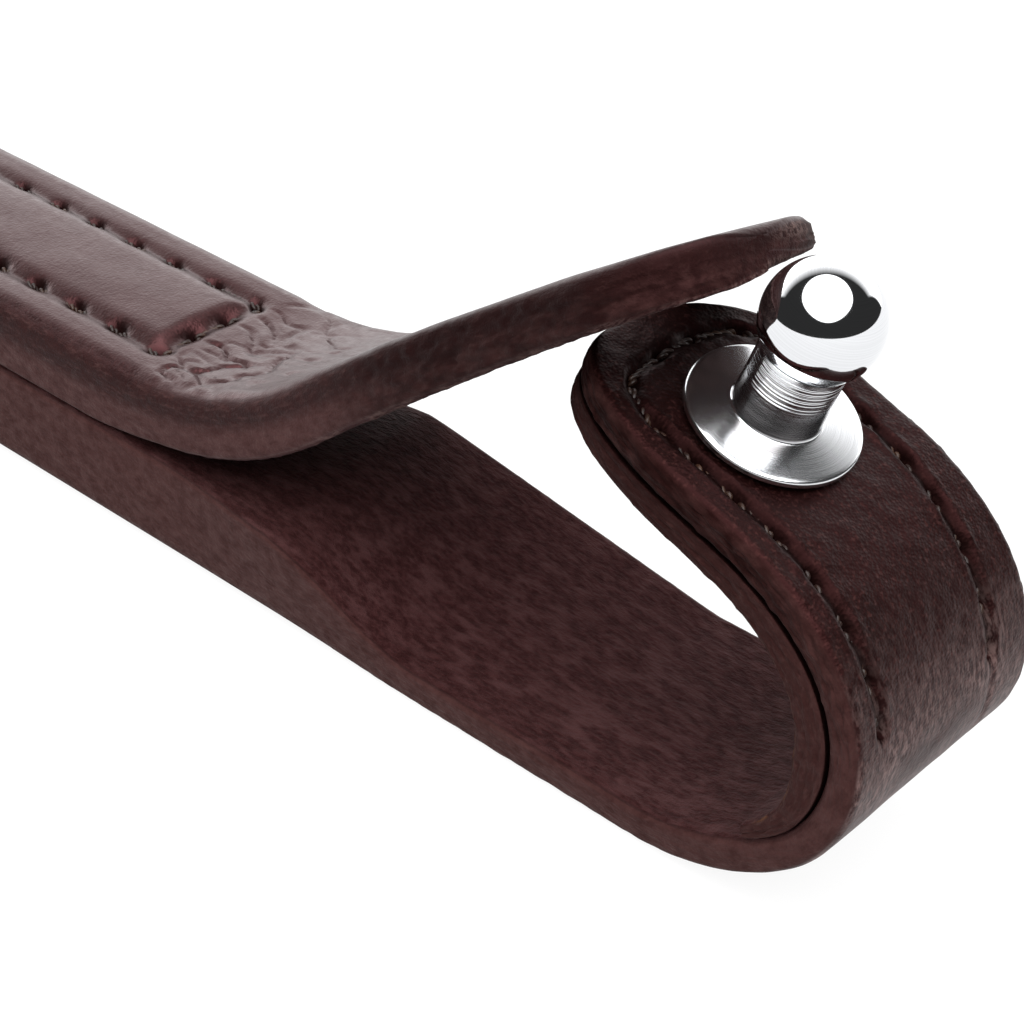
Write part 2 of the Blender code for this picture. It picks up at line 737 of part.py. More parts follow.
def buttonhole_cutter(collection):
    """Round hole near the tongue's tip, with a slit that lets it spread over the ball."""
    centre_at = UPPER_PATH.length - BUTTONHOLE_FROM_TIP
    thickness = upper_thickness(centre_at)
    centre = upper_point(centre_at, 0.0, thickness / 2)
    down = (upper_point(centre_at, 0.0, thickness) - centre).normalized()
    side = (upper_point(centre_at, HALF_WIDTH, thickness / 2) - centre).normalized()
    along = down.cross(side)
    radius = BUTTONHOLE_DIAMETER / 2
    mouth = asin(SLIT_WIDTH / 2 / radius)
    arc_steps = 22
    outline = []
    for index in range(arc_steps + 1):
        angle = pi + mouth + (2 * pi - 2 * mouth) * index / arc_steps
        outline.append((radius * cos(angle), radius * sin(angle)))
    outline.append((-radius - SLIT_LENGTH, SLIT_WIDTH / 2))
    outline.append((-radius - SLIT_LENGTH, -SLIT_WIDTH / 2))
    shape = bmesh.new()
    start = centre - down * thickness
    points = [start + along * run + side * across for run, across in outline]
    face = shape.faces.new([shape.verts.new(point) for point in points])
    pushed = bmesh.ops.extrude_face_region(shape, geom=[face])
    moved = [item for item in pushed["geom"] if isinstance(item, bmesh.types.BMVert)]
    bmesh.ops.translate(shape, verts=moved, vec=down * (2 * thickness))
    bmesh.ops.recalc_face_normals(shape, faces=shape.faces)
    return finish_cutter("buttonhole_cutter", shape, collection)


def main():
    for old in list(bpy.data.objects):
        bpy.data.objects.remove(old, do_unlink=True)
    parts = bpy.data.collections.new("leather_strap_with_ball_stud")
    cutters = bpy.data.collections.new("cutters")
    for collection in (parts, cutters):
        bpy.context.scene.collection.children.link(collection)

    grain = new_material("dark_brown_leather", (0.055, 0.030, 0.028), 0.45)
    flesh = new_material("brown_lining_leather", (0.070, 0.040, 0.034), 0.80)
    chrome = new_material("polished_chrome", (0.80, 0.80, 0.82), 0.12, 1.0)
    steel = new_material("turned_steel", (0.62, 0.62, 0.63), 0.30, 1.0)
    waxed = new_material("waxed_brown_thread", (0.045, 0.026, 0.024), 0.50)

    upper = upper_strap(parts, grain)
    lower = lower_strap(parts, grain)
    lining = loop_lining(parts, flesh)
    ball_stud(parts, chrome)
    stud_screw(parts, cutters, steel)

    strap_seam = strap_holes()
    loop_seam = arm_holes()
    strap_awl = hole_cutter("strap_awl_cutter", strap_seam, STRAP_TOP, cutters)
    loop_awl = hole_cutter("loop_awl_cutter", loop_seam, arm_stack(STUD_AT), cutters)
    screw_hole = screw_hole_cutter(cutters)

    cut(upper, strap_awl)
    cut(lower, strap_awl)
    cut(upper, buttonhole_cutter(cutters))
    for layer in (lower, lining):
        cut(layer, loop_awl)
        cut(layer, screw_hole)

    thread("strap_needle_thread", strap_seam, -1, parts, waxed)
    thread("strap_bobbin_thread", strap_seam, 1, parts, waxed)
    thread("loop_needle_thread", loop_seam, -1, parts, waxed)
    thread("loop_bobbin_thread", loop_seam, 1, parts, waxed)


main()
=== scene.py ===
"""Looks of the looped end of a leather strap, which a screwed ball stud fastens.

Metres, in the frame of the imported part: +X along the strap towards its loop, +Y to its
far side, +Z up. The leather skins follow the same paths as the part's solids.
"""
from collections import namedtuple
from math import asin, cos, dist, exp, pi, radians, sin, sqrt

import bmesh
import bpy
from mathutils import Matrix, Vector
from mathutils.kdtree import KDTree
from mathutils.noise import noise


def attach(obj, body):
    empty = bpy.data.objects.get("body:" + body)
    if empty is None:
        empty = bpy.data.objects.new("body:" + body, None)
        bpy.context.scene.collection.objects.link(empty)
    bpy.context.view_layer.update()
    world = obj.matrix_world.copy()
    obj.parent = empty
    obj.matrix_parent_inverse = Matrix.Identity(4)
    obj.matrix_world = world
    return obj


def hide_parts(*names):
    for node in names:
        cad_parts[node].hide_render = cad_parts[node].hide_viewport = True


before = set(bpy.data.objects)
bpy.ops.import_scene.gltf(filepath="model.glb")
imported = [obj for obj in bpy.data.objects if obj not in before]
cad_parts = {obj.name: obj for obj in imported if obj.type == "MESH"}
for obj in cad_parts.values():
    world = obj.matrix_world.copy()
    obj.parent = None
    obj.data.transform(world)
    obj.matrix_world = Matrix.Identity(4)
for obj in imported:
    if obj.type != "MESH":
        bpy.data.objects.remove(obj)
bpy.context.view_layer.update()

# Camera, fitted to the photograph's outlines
CAMERA_PLACE = (0.12363056, -0.08707977, 0.08837079)
CAMERA_TURN = (radians(56.2122), radians(-1.5591), radians(42.4756))
CAMERA_LENS = 81.3115
SENSOR_WIDTH = 36.0
CAMERA_AZIMUTH = radians(41.43)

# Studio: elevations run from the horizon on the camera's side, over the top, to the far side
SOFTBOX_MIDDLE = radians(71)
SOFTBOX_REACH = radians(44)
SOFTBOX_SIDE = radians(40)
SOFTBOX_LIGHT = 5.0
BACK_PANEL_START = radians(134)
BACK_PANEL_FADE = radians(17)
BACK_PANEL_END = radians(184)
BACK_PANEL_SIDE = radians(60)
BACK_PANEL_LIGHT = 2.4
PATCH_MIDDLE = radians(150)
PATCH_ASIDE = radians(-48)
PATCH_REACH = radians(12)
PATCH_LIGHT = 2.0
ROOM_LIGHT = 0.03
FLOOR_LIGHT = 0.90
FLOOR_RADIUS = 1.2
FLOOR_SIDES = 96
CRISP_BORDER = radians(1.5)
WHITE = (1.0, 1.0, 1.0, 1.0)

# Strap
STRAP_WIDTH = 0.0156
CUT_END_X = -0.0270
FLAT_LENGTH = 0.0904
UPPER_THICKNESS = 0.0052
LOWER_THICKNESS = 0.0072
PIECE_GAP = 0.0003
GRAIN_ROUND = 0.0013
FLESH_ROUND = 0.0005

# Loop: bends of the outer face, then the arm that carries the stud
ENTRY_BEND_RADIUS = 0.0160
ENTRY_BEND_ANGLE = radians(40)
END_BEND_RADIUS = 0.01085
END_BEND_ANGLE = radians(95)
ARM_BEND_RADIUS = 0.0160
ARM_BEND_ANGLE = radians(25)
ARM_LENGTH = 0.0139
ARM_TIP_LENGTH = 0.0105
ARM_FAR_TIP_LENGTH = 0.0092
ARM_APEX = -0.0025
TIP_ROUNDNESS = 2.3

# Lower strap: thinned on the inside of the loop, less steeply at the far edge
LOOP_THICKNESS = 0.0027
ARM_THICKNESS = 0.0020
SKIVE_START = 0.0300
SKIVE_NEAR_LENGTH = 0.0130
SKIVE_FAR_LENGTH = 0.0240
LOOP_ROUND = 0.0005
LOOP_TWIST = radians(8.2)
TWIST_ONSET = 0.0410
TWIST_RISE = 0.0140
TWIST_HOLD = 0.0040
TWIST_FADE_LENGTH = 0.0220
LOOP_SKEW = 0.026
LOOP_SKEW_LENGTH = 0.0140

# Lining inside the stud arm
LINING_THICKNESS = 0.0019
LINING_TIP_THICKNESS = 0.0014
LINING_FEATHER = 0.0006
LINING_ROUND = 0.0004
LINING_START = 0.0100
LINING_SKIVE_LENGTH = 0.0100

# Tongue: the upper strap's free end, with a buttonhole for the stud
TONGUE_OVER_TIP = 0.0022
TONGUE_BEFORE_BALL = 0.0015
TONGUE_BEND_RADIUS = 0.0275
TONGUE_RISE = radians(34.4)
TONGUE_TIP_LENGTH = 0.0065
TONGUE_ROOT_THICKNESS = 0.0047
TONGUE_TIP_THICKNESS = 0.0029
TONGUE_FAR_THINNING = 0.0022
TONGUE_THINNING_TURN = radians(157)
TONGUE_TWIST = radians(15.9)
TONGUE_UNTWIST = 0.42
BUTTONHOLE_DIAMETER = 0.0055
BUTTONHOLE_FROM_TIP = 0.0095
SLIT_WIDTH = 0.0006
SLIT_LENGTH = 0.0050

# Stitching
STRAP_ROW = 0.0043
STRAP_PITCH = 0.00425
ROOT_TO_CROSS_ROW = 0.0010
STRAP_CROSS_STITCHES = 3
STRAP_END_MARGIN = 0.0035
ARM_ROW = 0.0057
ARM_FAR_ROW_DRIFT = 0.0017
ARM_PITCH = 0.0030
ARM_SEAM_START = 0.0230
ARM_SEAM_CORNER = 0.0030
ARM_FAR_SEAM_CORNER = 0.0045
ARM_TIP_MARGIN = 0.0030
ARM_CREASE_LENGTH = 0.0085
STRAND_RADIUS = 0.00014
STRAND_SPACING = 0.00012
STRAND_LAY = 0.0011
STITCH_LEG = 0.00035
STITCH_DIP = 0.0013
STRAND_SIDES = 7
THREAD_STEP = 0.00006
STRAP_THREAD_DEPTH = 0.00054
STRAP_BOBBIN_DEPTH = 0.00034
ARM_THREAD_DEPTH = 0.00052
ARM_TIP_THREAD_DEPTH = 0.00036
ARM_BOBBIN_RISE = 0.0001

# Stud, heights from the underside of its flange
STUD_FROM_TIP = 0.0096
FLANGE_RADIUS = 0.0050
NECK_RADIUS = 0.0025
BALL_RADIUS = 0.00335
BALL_CENTRE = 0.0072
BALL_LOWER_ANGLE = radians(35)
SCREW_RADIUS = 0.0015
SCREW_HEAD_RADIUS = 0.0039
SCREW_HEAD_HEIGHT = 0.0011
SCREW_REACH = 0.0040
SCREW_SLOT_WIDTH = 0.0010
SCREW_SLOT_DEPTH = 0.0005
BORE_RADIUS = 0.0018
LATHE_STEPS = 160

# Fineness of the leather skins
RING_STEP = 0.00028
HIDDEN_RING_STEP = 0.0006
FACE_COLUMNS = 80
BACK_COLUMNS = 36
EDGE_ROWS = 16
ARC_ROWS = 5
TIP_RINGS = 36

# Glued faces come closer here than the solids' gap
GLUED_CLOSE = 0.00026

HALF_WIDTH = STRAP_WIDTH / 2
STRAP_TOP = LOWER_THICKNESS + PIECE_GAP + UPPER_THICKNESS

Spot = namedtuple("Spot", "across depth out_across out_depth side share")


class Path:
    """Side view of a strap's grain face: straight runs and bends, by the distance along it."""

    def __init__(self, start_x, start_z, runs):
        self.knots = []
        x, z, heading, distance = start_x, start_z, 0.0, 0.0
        for length, radius in runs:
            self.knots.append((distance, x, z, heading, radius))
            x, z, heading = self.advance(x, z, heading, radius, length)
            distance += length
        self.length = distance

    @staticmethod
    def advance(x, z, heading, radius, length):
        if radius is None:
            return x + length * cos(heading), z + length * sin(heading), heading
        turned = heading + length / radius
        x += radius * (sin(turned) - sin(heading))
        z += radius * (cos(heading) - cos(turned))
        return x, z, turned

    def at(self, distance):
        knot = self.knots[0]
        for candidate in self.knots:
            if distance >= candidate[0]:
                knot = candidate
        start, x, z, heading, radius = knot
        return self.advance(x, z, heading, radius, distance - start)


LOWER_PATH = Path(CUT_END_X, 0.0, [
    (FLAT_LENGTH, None),
    (ENTRY_BEND_RADIUS * ENTRY_BEND_ANGLE, ENTRY_BEND_RADIUS),
    (END_BEND_RADIUS * END_BEND_ANGLE, END_BEND_RADIUS),
    (ARM_BEND_RADIUS * ARM_BEND_ANGLE, ARM_BEND_RADIUS),
    (ARM_LENGTH, None),
])
STUD_AT = LOWER_PATH.length - STUD_FROM_TIP


def upper_path():
    """Path of the upper strap: its tongue clears the arm's tip and stops short of the ball."""
    tip_x, tip_z, _ = LOWER_PATH.at(LOWER_PATH.length)
    foot_x, foot_z, heading = LOWER_PATH.at(STUD_AT)
    ball_x = foot_x + (PIECE_GAP + BALL_CENTRE) * sin(heading)
    ball_z = foot_z - (PIECE_GAP + BALL_CENTRE) * cos(heading)
    run_z = STRAP_TOP + TONGUE_BEND_RADIUS * (1 - cos(TONGUE_RISE))
    below_tip = (tip_z - run_z) * cos(TONGUE_RISE) + TONGUE_OVER_TIP
    run_x = tip_x - below_tip / sin(TONGUE_RISE)
    root = run_x - TONGUE_BEND_RADIUS * sin(TONGUE_RISE) - CUT_END_X
    to_ball = (ball_x - run_x) * cos(TONGUE_RISE) + (ball_z - run_z) * sin(TONGUE_RISE)
    return Path(CUT_END_X, STRAP_TOP, [
        (root, None),
        (TONGUE_BEND_RADIUS * TONGUE_RISE, TONGUE_BEND_RADIUS),
        (to_ball - TONGUE_BEFORE_BALL, None),
    ])


UPPER_PATH = upper_path()
TONGUE_ROOT = UPPER_PATH.knots[1][0]
STRAP_CROSS_ROW = TONGUE_ROOT - ROOT_TO_CROSS_ROW


def ease(value, start, length):
    """Smooth step from 0 to 1 over a length."""
    share = min(max((value - start) / length, 0.0), 1.0)
    return share * share * (3 - 2 * share)


def mix(first, second, share):
    return first + (second - first) * min(max(share, 0.0), 1.0)


def hump(value, width):
    """Bell curve, 1 at 0 and nearly gone at twice the width."""
    return exp(-(value / width) ** 2)


def loop_twist(distance):
    """Turn of the loop's section about the strap's run, which lifts its far edge."""
    onset = ease(distance, FLAT_LENGTH - TWIST_ONSET, TWIST_RISE)
    fade = ease(distance, FLAT_LENGTH + TWIST_HOLD, TWIST_FADE_LENGTH)
    return LOOP_TWIST * onset * (1 - fade)


def tongue_share(distance):
    """Place along the tongue, 0 at its root and before it, 1 at its tip."""
    return min(max((distance - TONGUE_ROOT) / (UPPER_PATH.length - TONGUE_ROOT), 0.0), 1.0)


def upper_roll(distance):
    """Twist of the tongue, which lowers its far edge and relaxes towards the tip."""
    share = tongue_share(distance)
    return TONGUE_TWIST * sin(share * pi / 2) * (1 - TONGUE_UNTWIST * share)


def lower_point(distance, across, depth):
    """Point of the loop strap: depth runs from its grain face to the inside of the loop."""
    x, z, heading = LOWER_PATH.at(distance)
    twist = loop_twist(distance)
    from_near_edge = across + HALF_WIDTH
    skew = LOOP_SKEW * ease(distance, FLAT_LENGTH, LOOP_SKEW_LENGTH)
    tangent = Vector((cos(heading), 0, sin(heading)))
    side = Vector((0, cos(twist), sin(twist)))
    inward = tangent.cross(side).normalized()
    near_edge = Vector((x + skew * from_near_edge, -HALF_WIDTH, z))
    return near_edge + side * from_near_edge + inward * depth


def upper_point(distance, across, depth):
    """Point of the upper strap: depth runs down from its grain face."""
    x, z, heading = UPPER_PATH.at(distance)
    roll = upper_roll(distance)
    down = Vector((sin(heading), 0, -cos(heading)))
    side = Vector((0, 1, 0))
    rolled_side = side * cos(roll) + down * sin(roll)
    rolled_down = down * cos(roll) - side * sin(roll)
    return Vector((x, 0, z)) + rolled_side * across + rolled_down * depth


def tip_fullness(distance, length, tip_length):
    """Share of a strap's width that is left within its rounded tip."""
    share = min(max((distance - (length - tip_length)) / tip_length, 0.0), 1.0)
    return max(1 - share ** TIP_ROUNDNESS, 0.0) ** (1 / TIP_ROUNDNESS)


def arm_edges(distance):
    """Near and far edge of the loop strap, whose tip is foremost nearer the near edge."""
    near = tip_fullness(distance, LOWER_PATH.length, ARM_TIP_LENGTH)
    far = tip_fullness(distance, LOWER_PATH.length, ARM_FAR_TIP_LENGTH)
    near_edge = ARM_APEX - (HALF_WIDTH + ARM_APEX) * near
    far_edge = ARM_APEX + (HALF_WIDTH - ARM_APEX) * far
    return near_edge, far_edge


def tip_drop(distance, length, edge_round):
    """Depth by which a face falls away towards the end of a strap's tip."""
    inside = min(max(distance - (length - edge_round), 0.0), edge_round)
    return edge_round - sqrt(edge_round ** 2 - inside ** 2)


def lower_thickness(distance, share_across):
    """Thickness of the lower strap, by its place along the strap and from near to far edge."""
    start = FLAT_LENGTH - SKIVE_START
    near = mix(LOWER_THICKNESS, LOOP_THICKNESS, ease(distance, start, SKIVE_NEAR_LENGTH))
    far = mix(LOWER_THICKNESS, LOOP_THICKNESS, (distance - start) / SKIVE_FAR_LENGTH)
    loop = mix(near, far, share_across)
    arm_start = FLAT_LENGTH + LINING_START - LINING_SKIVE_LENGTH / 2
    return mix(loop, ARM_THICKNESS, ease(distance, arm_start, LINING_SKIVE_LENGTH))


def lining_thickness(distance):
    start = FLAT_LENGTH + LINING_START
    full = start + LINING_SKIVE_LENGTH
    thickest = mix(LINING_FEATHER, LINING_THICKNESS, (distance - start) / LINING_SKIVE_LENGTH)
    return mix(thickest, LINING_TIP_THICKNESS, (distance - full) / (LOWER_PATH.length - full))


def arm_stack(distance):
    """Thickness of the arm and its lining together."""
    return lower_thickness(distance, 0.0) + PIECE_GAP + lining_thickness(distance)


def upper_thickness(distance):
    """Thickness of the upper strap, glued down over the stitched run."""
    tongue = mix(TONGUE_ROOT_THICKNESS, TONGUE_TIP_THICKNESS, tongue_share(distance))
    free = ease(distance, STRAP_CROSS_ROW - 0.004, 0.008)
    return mix(UPPER_THICKNESS + GLUED_CLOSE, tongue, free)


def far_thinning(distance):
    """Loss of thickness at the tongue's far edge, most over the arm and less at the tip."""
    return TONGUE_FAR_THINNING * sin(TONGUE_THINNING_TURN * tongue_share(distance))


def spread(start, end, step):
    """Even distances from start to end, about a step apart."""
    count = max(1, round((end - start) / step))
    return [start + (end - start) * index / count for index in range(count + 1)]


def tip_distances(length, tip_length):
    """Distances that follow a rounded tip, closer together towards its blunt end."""
    last_turn = radians(88.5)
    steps = range(TIP_RINGS + 1)
    return [length - tip_length * (1 - sin(last_turn * index / TIP_RINGS)) for index in steps]


# Seams

def strap_seam():
    """Course of the strap's seam on its grain face: near row, cross row, far row."""
    end = STRAP_CROSS_ROW
    return [(0.0, -STRAP_ROW), (end, -STRAP_ROW), (end, STRAP_ROW), (0.0, STRAP_ROW)]


def strap_stitches():
    """Places of the strap's stitch holes, as (distance, across)."""
    row_count = int((STRAP_CROSS_ROW - STRAP_END_MARGIN) / STRAP_PITCH)
    along = [STRAP_CROSS_ROW - STRAP_PITCH * index for index in range(row_count + 1)]
    places = [(distance, -STRAP_ROW) for distance in reversed(along)]
    for index in range(1, STRAP_CROSS_STITCHES):
        places.append((STRAP_CROSS_ROW, -STRAP_ROW + 2 * STRAP_ROW * index / STRAP_CROSS_STITCHES))
    return places + [(distance, STRAP_ROW) for distance in along]


def arm_seam():
    """Course of the arm's seam round the rounded tip."""
    start = FLAT_LENGTH + ARM_SEAM_START
    end = LOWER_PATH.length - ARM_TIP_MARGIN
    turns = spread(0.0, pi / 2, radians(10))
    chain = [(start, -ARM_ROW)]
    for turn in turns:
        from_end = ARM_SEAM_CORNER * (1 - sin(turn))
        chain.append((end - from_end, -ARM_ROW + ARM_SEAM_CORNER * (1 - cos(turn))))
    for turn in turns:
        from_end = ARM_FAR_SEAM_CORNER * (1 - cos(turn))
        chain.append((end - from_end, ARM_ROW - ARM_FAR_SEAM_CORNER * (1 - sin(turn))))
    chain.append((start, ARM_ROW - ARM_FAR_ROW_DRIFT))
    return chain


def evenly_along(chain, pitch):
    """Points at even spacing along a chain of points, as near the pitch as fits."""
    legs = [dist(start, end) for start, end in zip(chain, chain[1:])]
    total = sum(legs)
    count = round(total / pitch)
    places = []
    for index in range(count + 1):
        run = total * index / count
        leg = 0
        while run > legs[leg] and leg < len(legs) - 1:
            run -= legs[leg]
            leg += 1
        share = run / legs[leg]
        places.append([mix(start, end, share) for start, end in zip(chain[leg], chain[leg + 1])])
    return places


def place_tree(places):
    """Search tree over places of a grain face."""
    tree = KDTree(len(places))
    for index, (distance, across) in enumerate(places):
        tree.insert((distance, across, 0.0), index)
    tree.balance()
    return tree


class Seam:
    """Line of a seam on a grain face, with its stitch holes."""

    STEP = 0.0001

    def __init__(self, chain, stitches):
        self.stitches = stitches
        self.line = place_tree(evenly_along(chain, self.STEP))
        self.holes = place_tree(stitches)
        last = len(stitches) - 1
        self.courses = []
        for index in range(last + 1):
            before = stitches[max(index - 1, 0)]
            after = stitches[min(index + 1, last)]
            self.courses.append(Vector((after[0] - before[0], after[1] - before[1])).normalized())

    def nearness(self, distance, across, stretch):
        """Distance from the line, and from the nearest hole as if it were round."""
        place = (distance, across, 0.0)
        to_line = self.line.find(place)[2]
        hole, index, _ = self.holes.find(place)
        offset = Vector((distance - hole.x, across - hole.y))
        along = offset.dot(self.courses[index])
        beside = offset.cross(self.courses[index])
        return to_line, sqrt((along / stretch) ** 2 + beside ** 2)


STRAP_SEAM = Seam(strap_seam(), strap_stitches())
ARM_SEAM = Seam(arm_seam(), evenly_along(arm_seam(), ARM_PITCH))


# Fine shape of the leather, as heights above the solid's faces

TROUGH_WIDTH = 0.00075
TROUGH_DEPTH = 0.00030
PIT_WIDTH = 0.00036
PIT_STRETCH = 1.9
PIT_DEPTH = 0.00075
PADDING_RISE = 0.00038
PADDING_END = 0.0015
ARM_TROUGH_WIDTH = 0.00036
ARM_TROUGH_DEPTH = 0.00026
ARM_LIP_RISE = 0.00009
ARM_LIP_OFFSET = 0.00058
ARM_LIP_WIDTH = 0.00022
ARM_CREASE_WIDTH = 0.00022
ARM_CREASE_DEPTH = 0.00014
PUCKER_RISE = 0.00006
WRINKLE_DEPTH = 0.00030
WRINKLE_MIDDLE = -0.0030
WRINKLE_REACH = 0.0050
WRINKLE_LEAN = 0.45
CREASE_WIDTH = 0.16
# Painted sheen on the loop's outer bend: where it lies and how far it reaches
SHEEN_AT = 0.0180
SHEEN_REACH = 0.0060
EDGE_BULGE = 0.00012
EDGE_HEIGHT = 0.004
ROUGHNESS = 0.00004

# Noise on the leather: spacing across, stretch along the strap, seed
SEAM_WANDER = (0.0040, 1.0, 3.1)
TROUGH_CHANGE = (0.0022, 1.5, 9.4)
WRINKLE_BEND = (0.0030, 1.0, 7.7)
WRINKLE_SHIFT = (0.0025, 1.0, 2.9)
WRINKLES = (0.0018, 2.0, 5.2)
FINE_WRINKLES = (0.0011, 2.6, 1.7)
ROOT_WAVES = (0.0021, 1.3, 15.0)
TOP_WAVES = (0.0024, 1.6, 0.3)
ARM_WAVES = (0.0016, 0.8, 2.2)
LIP_LUMPS = (0.0007, 1.7, 6.1)
PUCKERS = (0.0009, 0.8, 4.4)
FLESH_COARSE = (0.0011, 1.8, 12.0)
FLESH_FINE = (0.0004, 1.6, 13.0)
EDGE_COARSE = (0.0007, 3.4)
EDGE_FINE = (0.00034, 2.2)
TONGUE_WEAR = (0.0025, 1.0, 23.0)
LINING_WEAR = (0.0022, 1.0, 51.0)
# Patches of the painted sheen on the loop's bend
LOOP_SHEEN = (0.0030, 1.0, 61.0)
UPPER_EDGE_SEED = 21.0
LOWER_EDGE_SEED = 31.0
LINING_EDGE_SEED = 41.0


def rough(distance, across, spacing, stretch, seed):
    """Noise from about -1 to 1 on a leather face, drawn out along the strap."""
    return noise(Vector((distance / (spacing * stretch), across / spacing, seed)))


def creases(distance, across, layer):
    """Narrow creases, 1 along each and 0 between them."""
    return max(0.0, 1 - abs(rough(distance, across, *layer)) / CREASE_WIDTH)


def root_wrinkles(distance, across):
    """Height of the wrinkles where the tongue bends up, deepest nearer the near edge."""
    start = ease(distance, STRAP_CROSS_ROW + 0.0006, 0.0020)
    root = start * (1 - ease(distance, TONGUE_ROOT + 0.0050, 0.0110))
    bent = distance + WRINKLE_LEAN * across + 0.0012 * rough(distance, across, *WRINKLE_BEND)
    side = across + 0.0009 * rough(distance, across, *WRINKLE_SHIFT)
    fold = creases(bent, side, WRINKLES) + 0.35 * creases(bent, side, FINE_WRINKLES)
    near = 0.35 + 0.65 * hump(across - WRINKLE_MIDDLE, WRINKLE_REACH)
    return root * (0.00010 * rough(bent, side, *ROOT_WAVES) - WRINKLE_DEPTH * fold * near)


def upper_face_relief(distance, across):
    """Height of the upper strap's grain face: padding, stitch troughs, pits and wrinkles."""
    wander = 0.00012 * rough(distance, across, *SEAM_WANDER)
    to_seam, to_hole = STRAP_SEAM.nearness(distance, across + wander, PIT_STRETCH)
    uneven = 1 + 0.35 * rough(distance, across, *TROUGH_CHANGE)
    height = -TROUGH_DEPTH * uneven * hump(to_seam, TROUGH_WIDTH)
    height -= PIT_DEPTH * hump(to_hole, PIT_WIDTH)
    inside = max(1 - (across / STRAP_ROW) ** 2, 0.0)
    padded = 1 - ease(distance, STRAP_CROSS_ROW - PADDING_END, PADDING_END)
    height += PADDING_RISE * sqrt(inside) * padded
    height += root_wrinkles(distance, across)
    return height + ROUGHNESS * 1.2 * rough(distance, across, *TOP_WAVES)


def lower_face_relief(distance, across):
    """Height of the loop strap's grain face: the arm's stitch trough with its raised lips."""
    height = ROUGHNESS * rough(distance, across, *ARM_WAVES)
    start = FLAT_LENGTH + ARM_SEAM_START
    if distance < start - ARM_CREASE_LENGTH - 0.002:
        return height
    to_seam, to_hole = ARM_SEAM.nearness(distance, across, PIT_STRETCH)
    lumps = 0.6 + 1.6 * rough(distance, across, *LIP_LUMPS)
    height -= ARM_TROUGH_DEPTH * hump(to_seam, ARM_TROUGH_WIDTH)
    height += ARM_LIP_RISE * lumps * hump(to_seam - ARM_LIP_OFFSET, ARM_LIP_WIDTH)
    height -= PIT_DEPTH * 0.7 * hump(to_hole, PIT_WIDTH * 0.85)
    crease = ease(distance, start - ARM_CREASE_LENGTH, 0.004) * (1 - ease(distance, start, 0.0005))
    row = ARM_ROW - ARM_FAR_ROW_DRIFT + 0.0006 * (start - distance) / ARM_CREASE_LENGTH
    height -= ARM_CREASE_DEPTH * crease * hump(across - row, ARM_CREASE_WIDTH)
    return height + PUCKER_RISE * ease(distance, start, 0.003) * rough(distance, across, *PUCKERS)


def flesh_relief(distance, across):
    """Height of a rough flesh face."""
    coarse = rough(distance, across, *FLESH_COARSE)
    fine = rough(distance, across, *FLESH_FINE)
    return ROUGHNESS * (1.2 * coarse + 1.3 * fine)


def edge_relief(distance, share, seed, strength):
    """Height of a cut edge: slightly bulged, with marks of the knife and the burnisher."""
    bulge = EDGE_BULGE * (1 - (2 * share - 1) ** 2)
    marks = rough(distance, share * EDGE_HEIGHT, *EDGE_COARSE, seed)
    marks += 1.1 * rough(distance, share * EDGE_HEIGHT, *EDGE_FINE, seed + 1)
    return bulge + ROUGHNESS * strength * marks


def side_share(spot):
    """1 well inside a spot's own side, falling to 0 where the section turns to the next."""
    if spot.side == "edge":
        return ease(abs(spot.out_across), 0.8, 0.2)
    return ease(abs(spot.out_depth), 0.6, 0.35)


def section_spots(near, far, face, back_near, back_far, face_round, back_round):
    """Spots round a strap's section: over the grain face, down the far edge and back."""
    width = far - near
    face_round = min(face_round, width / 3)
    back_round = min(back_round, width / 3)
    outline = []

    def back(across):
        return mix(back_near, back_far, (across - near) / width)

    def corner(across, depth, radius, start, end):
        for step in range(ARC_ROWS):
            angle = mix(start, end, step / ARC_ROWS)
            outline.append((across + radius * cos(angle), depth - radius * sin(angle), angle))

    def line(start, end, angle, count):
        for step in range(count):
            share = step / count
            outline.append((mix(start[0], end[0], share), mix(start[1], end[1], share), angle))

    corner(near + face_round, face + face_round, face_round, pi, pi / 2)
    line((near + face_round, face), (far - face_round, face), pi / 2, FACE_COLUMNS)
    corner(far - face_round, face + face_round, face_round, pi / 2, 0.0)
    line((far, face + face_round), (far, back(far) - back_round), 0.0, EDGE_ROWS)
    corner(far - back_round, back(far) - back_round, back_round, 0.0, -pi / 2)
    line((far - back_round, back(far)), (near + back_round, back(near)), -pi / 2, BACK_COLUMNS)
    corner(near + back_round, back(near) - back_round, back_round, -pi / 2, -pi)
    line((near, back(near) - back_round), (near, face + face_round), pi, EDGE_ROWS)

    spots = []
    for across, depth, angle in outline:
        if sin(angle) > 0.6:
            side = "face"
        elif sin(angle) < -0.6:
            side = "back"
        else:
            side = "edge"
        share = (depth - face) / (back(across) - face)
        spots.append(Spot(across, depth, cos(angle), -sin(angle), side, min(max(share, 0.0), 1.0)))
    return spots


def ring_faces(size, rings):
    """Quads between rings of points that follow each other."""
    faces = []
    for first in range(0, (rings - 1) * size, size):
        second = first + size
        for index in range(size):
            following = (index + 1) % size
            faces.append((first + index, first + following, second + following, second + index))
    return faces


def new_object(name, points, faces, material=None):
    """Object of points and faces, with its normals outward."""
    mesh = bpy.data.meshes.new(name)
    mesh.from_pydata(points, [], faces)
    shape = bmesh.new()
    shape.from_mesh(mesh)
    bmesh.ops.recalc_face_normals(shape, faces=shape.faces)
    shape.to_mesh(mesh)
    shape.free()
    if material is not None:
        mesh.materials.append(material)
    made = bpy.data.objects.new(name, mesh)
    bpy.context.scene.collection.objects.link(made)
    return made


def keep_values(mesh, name, values):
    """Stores a value of three numbers for each point of a mesh, for its material."""
    layer = mesh.attributes.new(name, "FLOAT_VECTOR", "POINT")
    for index, value in enumerate(values):
        layer.data[index].vector = value


